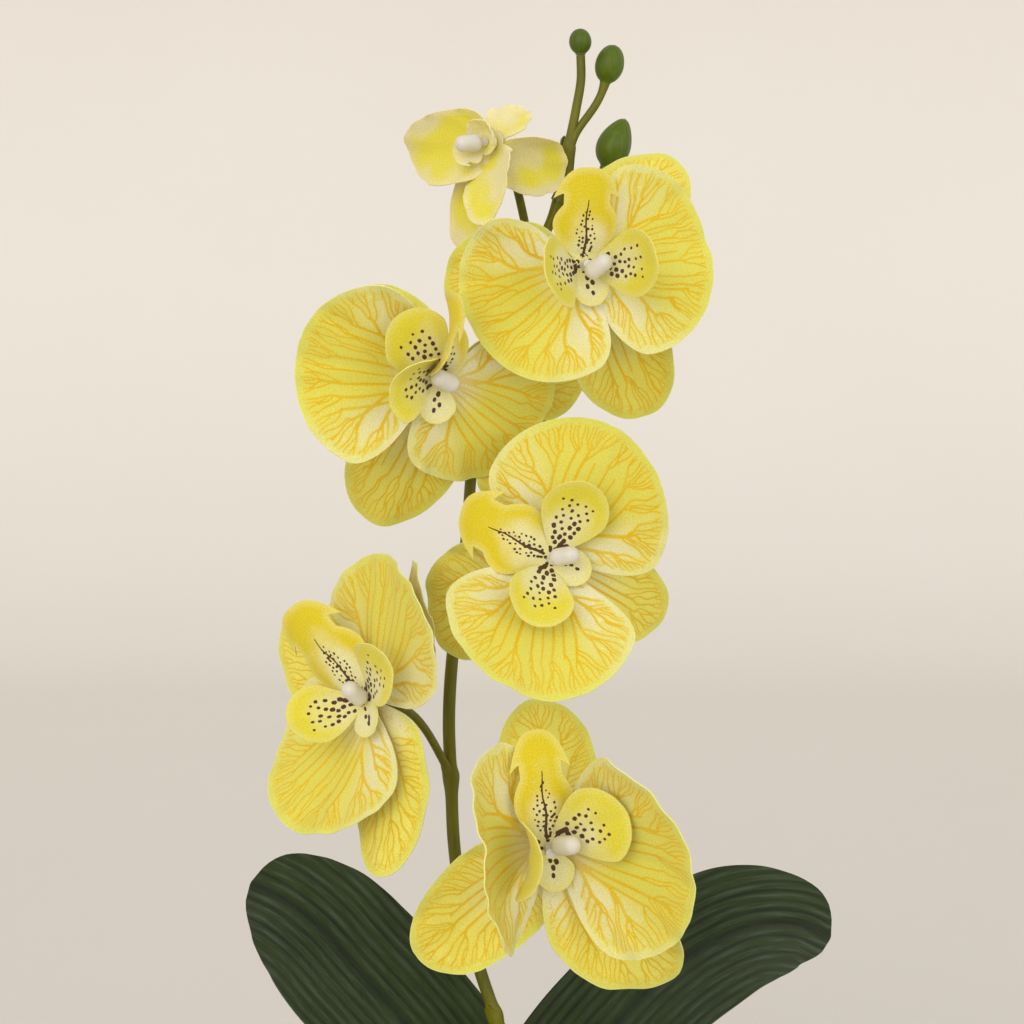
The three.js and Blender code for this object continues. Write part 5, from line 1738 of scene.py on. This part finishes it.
class ORCHID_OT_stage(bpy.types.Operator):
    """Set the floor, the lights and the camera"""
    bl_idname = "orchid.stage"
    bl_label = "Stage"

    def execute(self, context):
        settings = context.scene.orchid_stage
        scene = context.scene
        floor = bpy.data.meshes.new("floor")
        # A sheet of paper that lies flat and rises behind the plant in a wide bend.
        wide, front, bend_from, bend_radius, top = 30.0, -30.0, 1.6, 0.9, 4.0
        curve = [(front, 0.0), (bend_from, 0.0)]
        curve += [(bend_from + bend_radius * math.sin(a), bend_radius * (1 - math.cos(a)))
                  for a in np.linspace(0, math.pi / 2, 25)[1:]]
        curve.append((bend_from + bend_radius, top))
        floor.from_pydata([(x, y, z) for y, z in curve for x in (-wide, wide)], [],
                          [(2 * k, 2 * k + 1, 2 * k + 3, 2 * k + 2)
                           for k in range(len(curve) - 1)])
        floor.shade_smooth()
        floor_obj = bpy.data.objects.new("floor", floor)
        scene.collection.objects.link(floor_obj)
        paper, t, shader = new_material("pale_paper_floor", Roughness=0.95,
                                        Specular_IOR_Level=0.1)
        where = wire(t, "ShaderNodeTexCoord", out="Object")
        cloud = wire(t, NOISE, {"Vector": where, "Scale": 3.0, "Detail": 2.0})
        cloud = wire(t, RANGE, [cloud, 0.3, 0.7, 0.0, 0.08])
        shade = wire(t, MIX, {0: cloud, 6: tuple(settings.floor), 7: linear("#cfcac2")}, **BLEND)
        t.links.new(shade, shader.inputs["Base Color"])
        floor.materials.append(paper)

        scene.view_settings.view_transform = "Standard"
        world = bpy.data.worlds.new("studio")
        world.use_nodes = True
        background = world.node_tree.nodes["Background"]
        background.inputs["Color"].default_value = linear("#e6e3de")
        background.inputs["Strength"].default_value = 1.0
        scene.world = world

        # Suns as wide as softboxes light the plant softly and leave no edge on the floor.
        lights = (
            ("key", (-0.55, -1.4, 0.8), 42, settings.key, "#fff8ee"),
            ("fill", (0.9, -1.1, 0.35), 45, settings.fill, "#f6f8ff"),
            ("rim", (0.5, 1.1, 1.0), 32, settings.fill, "#ffffff"),
        )
        for name, place, width, strength, code in lights:
            data = bpy.data.lights.new(name, "SUN")
            data.energy, data.angle = strength, math.radians(width)
            data.color = linear(code)[:3]
            lamp = bpy.data.objects.new(name, data)
            lamp.location = place
            aim = Vector(LIGHTS_TARGET) - lamp.location
            lamp.rotation_euler = aim.to_track_quat("-Z", "Y").to_euler()
            scene.collection.objects.link(lamp)

        data = bpy.data.cameras.new("camera")
        data.sensor_width, data.lens = SENSOR_WIDTH, CAMERA_LENS
        data.clip_start, data.clip_end = 0.01, 50
        camera = bpy.data.objects.new("camera", data)
        target = Vector(CAMERA_TARGET)
        lift = math.radians(CAMERA_ELEVATION)
        away = Vector((0, -math.cos(lift), math.sin(lift)))
        camera.location = target + CAMERA_DISTANCE * away
        camera.rotation_euler = (target - camera.location).to_track_quat("-Z", "Y").to_euler()
        scene.collection.objects.link(camera)
        scene.camera = camera
        return {"FINISHED"}


class ORCHID_PT_panel(bpy.types.Panel):
    bl_label = "Orchid"
    bl_idname = "ORCHID_PT_panel"
    bl_space_type = "VIEW_3D"
    bl_region_type = "UI"
    bl_category = "Orchid"

    def draw(self, context):
        scene = context.scene
        groups = ((scene.orchid_blooms, OrchidBlooms), (scene.orchid_plant, OrchidPlant),
                  (scene.orchid_pot, OrchidPot), (scene.orchid_stage, OrchidStage))
        for settings, kind in groups:
            box = self.layout.box()
            for key in kind.__annotations__:
                box.prop(settings, key)
        for operator in OPERATORS:
            self.layout.operator(operator.bl_idname)


SETTINGS = (OrchidBlooms, OrchidPlant, OrchidPot, OrchidStage)
OPERATORS = (
    ORCHID_OT_stage, ORCHID_OT_sepals_and_petals, ORCHID_OT_lips, ORCHID_OT_columns,
    ORCHID_OT_buds, ORCHID_OT_spike, ORCHID_OT_leaves, ORCHID_OT_pot, ORCHID_OT_bark,
)
HOLDERS = ("orchid_blooms", "orchid_plant", "orchid_pot", "orchid_stage")


def register():
    for kind in SETTINGS + OPERATORS + (ORCHID_PT_panel,):
        bpy.utils.register_class(kind)
    for holder, kind in zip(HOLDERS, SETTINGS):
        setattr(bpy.types.Scene, holder, PointerProperty(type=kind))


def unregister():
    for holder in HOLDERS:
        delattr(bpy.types.Scene, holder)
    for kind in (ORCHID_PT_panel,) + OPERATORS[::-1] + SETTINGS[::-1]:
        bpy.utils.unregister_class(kind)


def main():
    register()
    for operator in OPERATORS:
        group, name = operator.bl_idname.split(".")
        getattr(getattr(bpy.ops, group), name)()


if __name__ == "__main__":
    main()
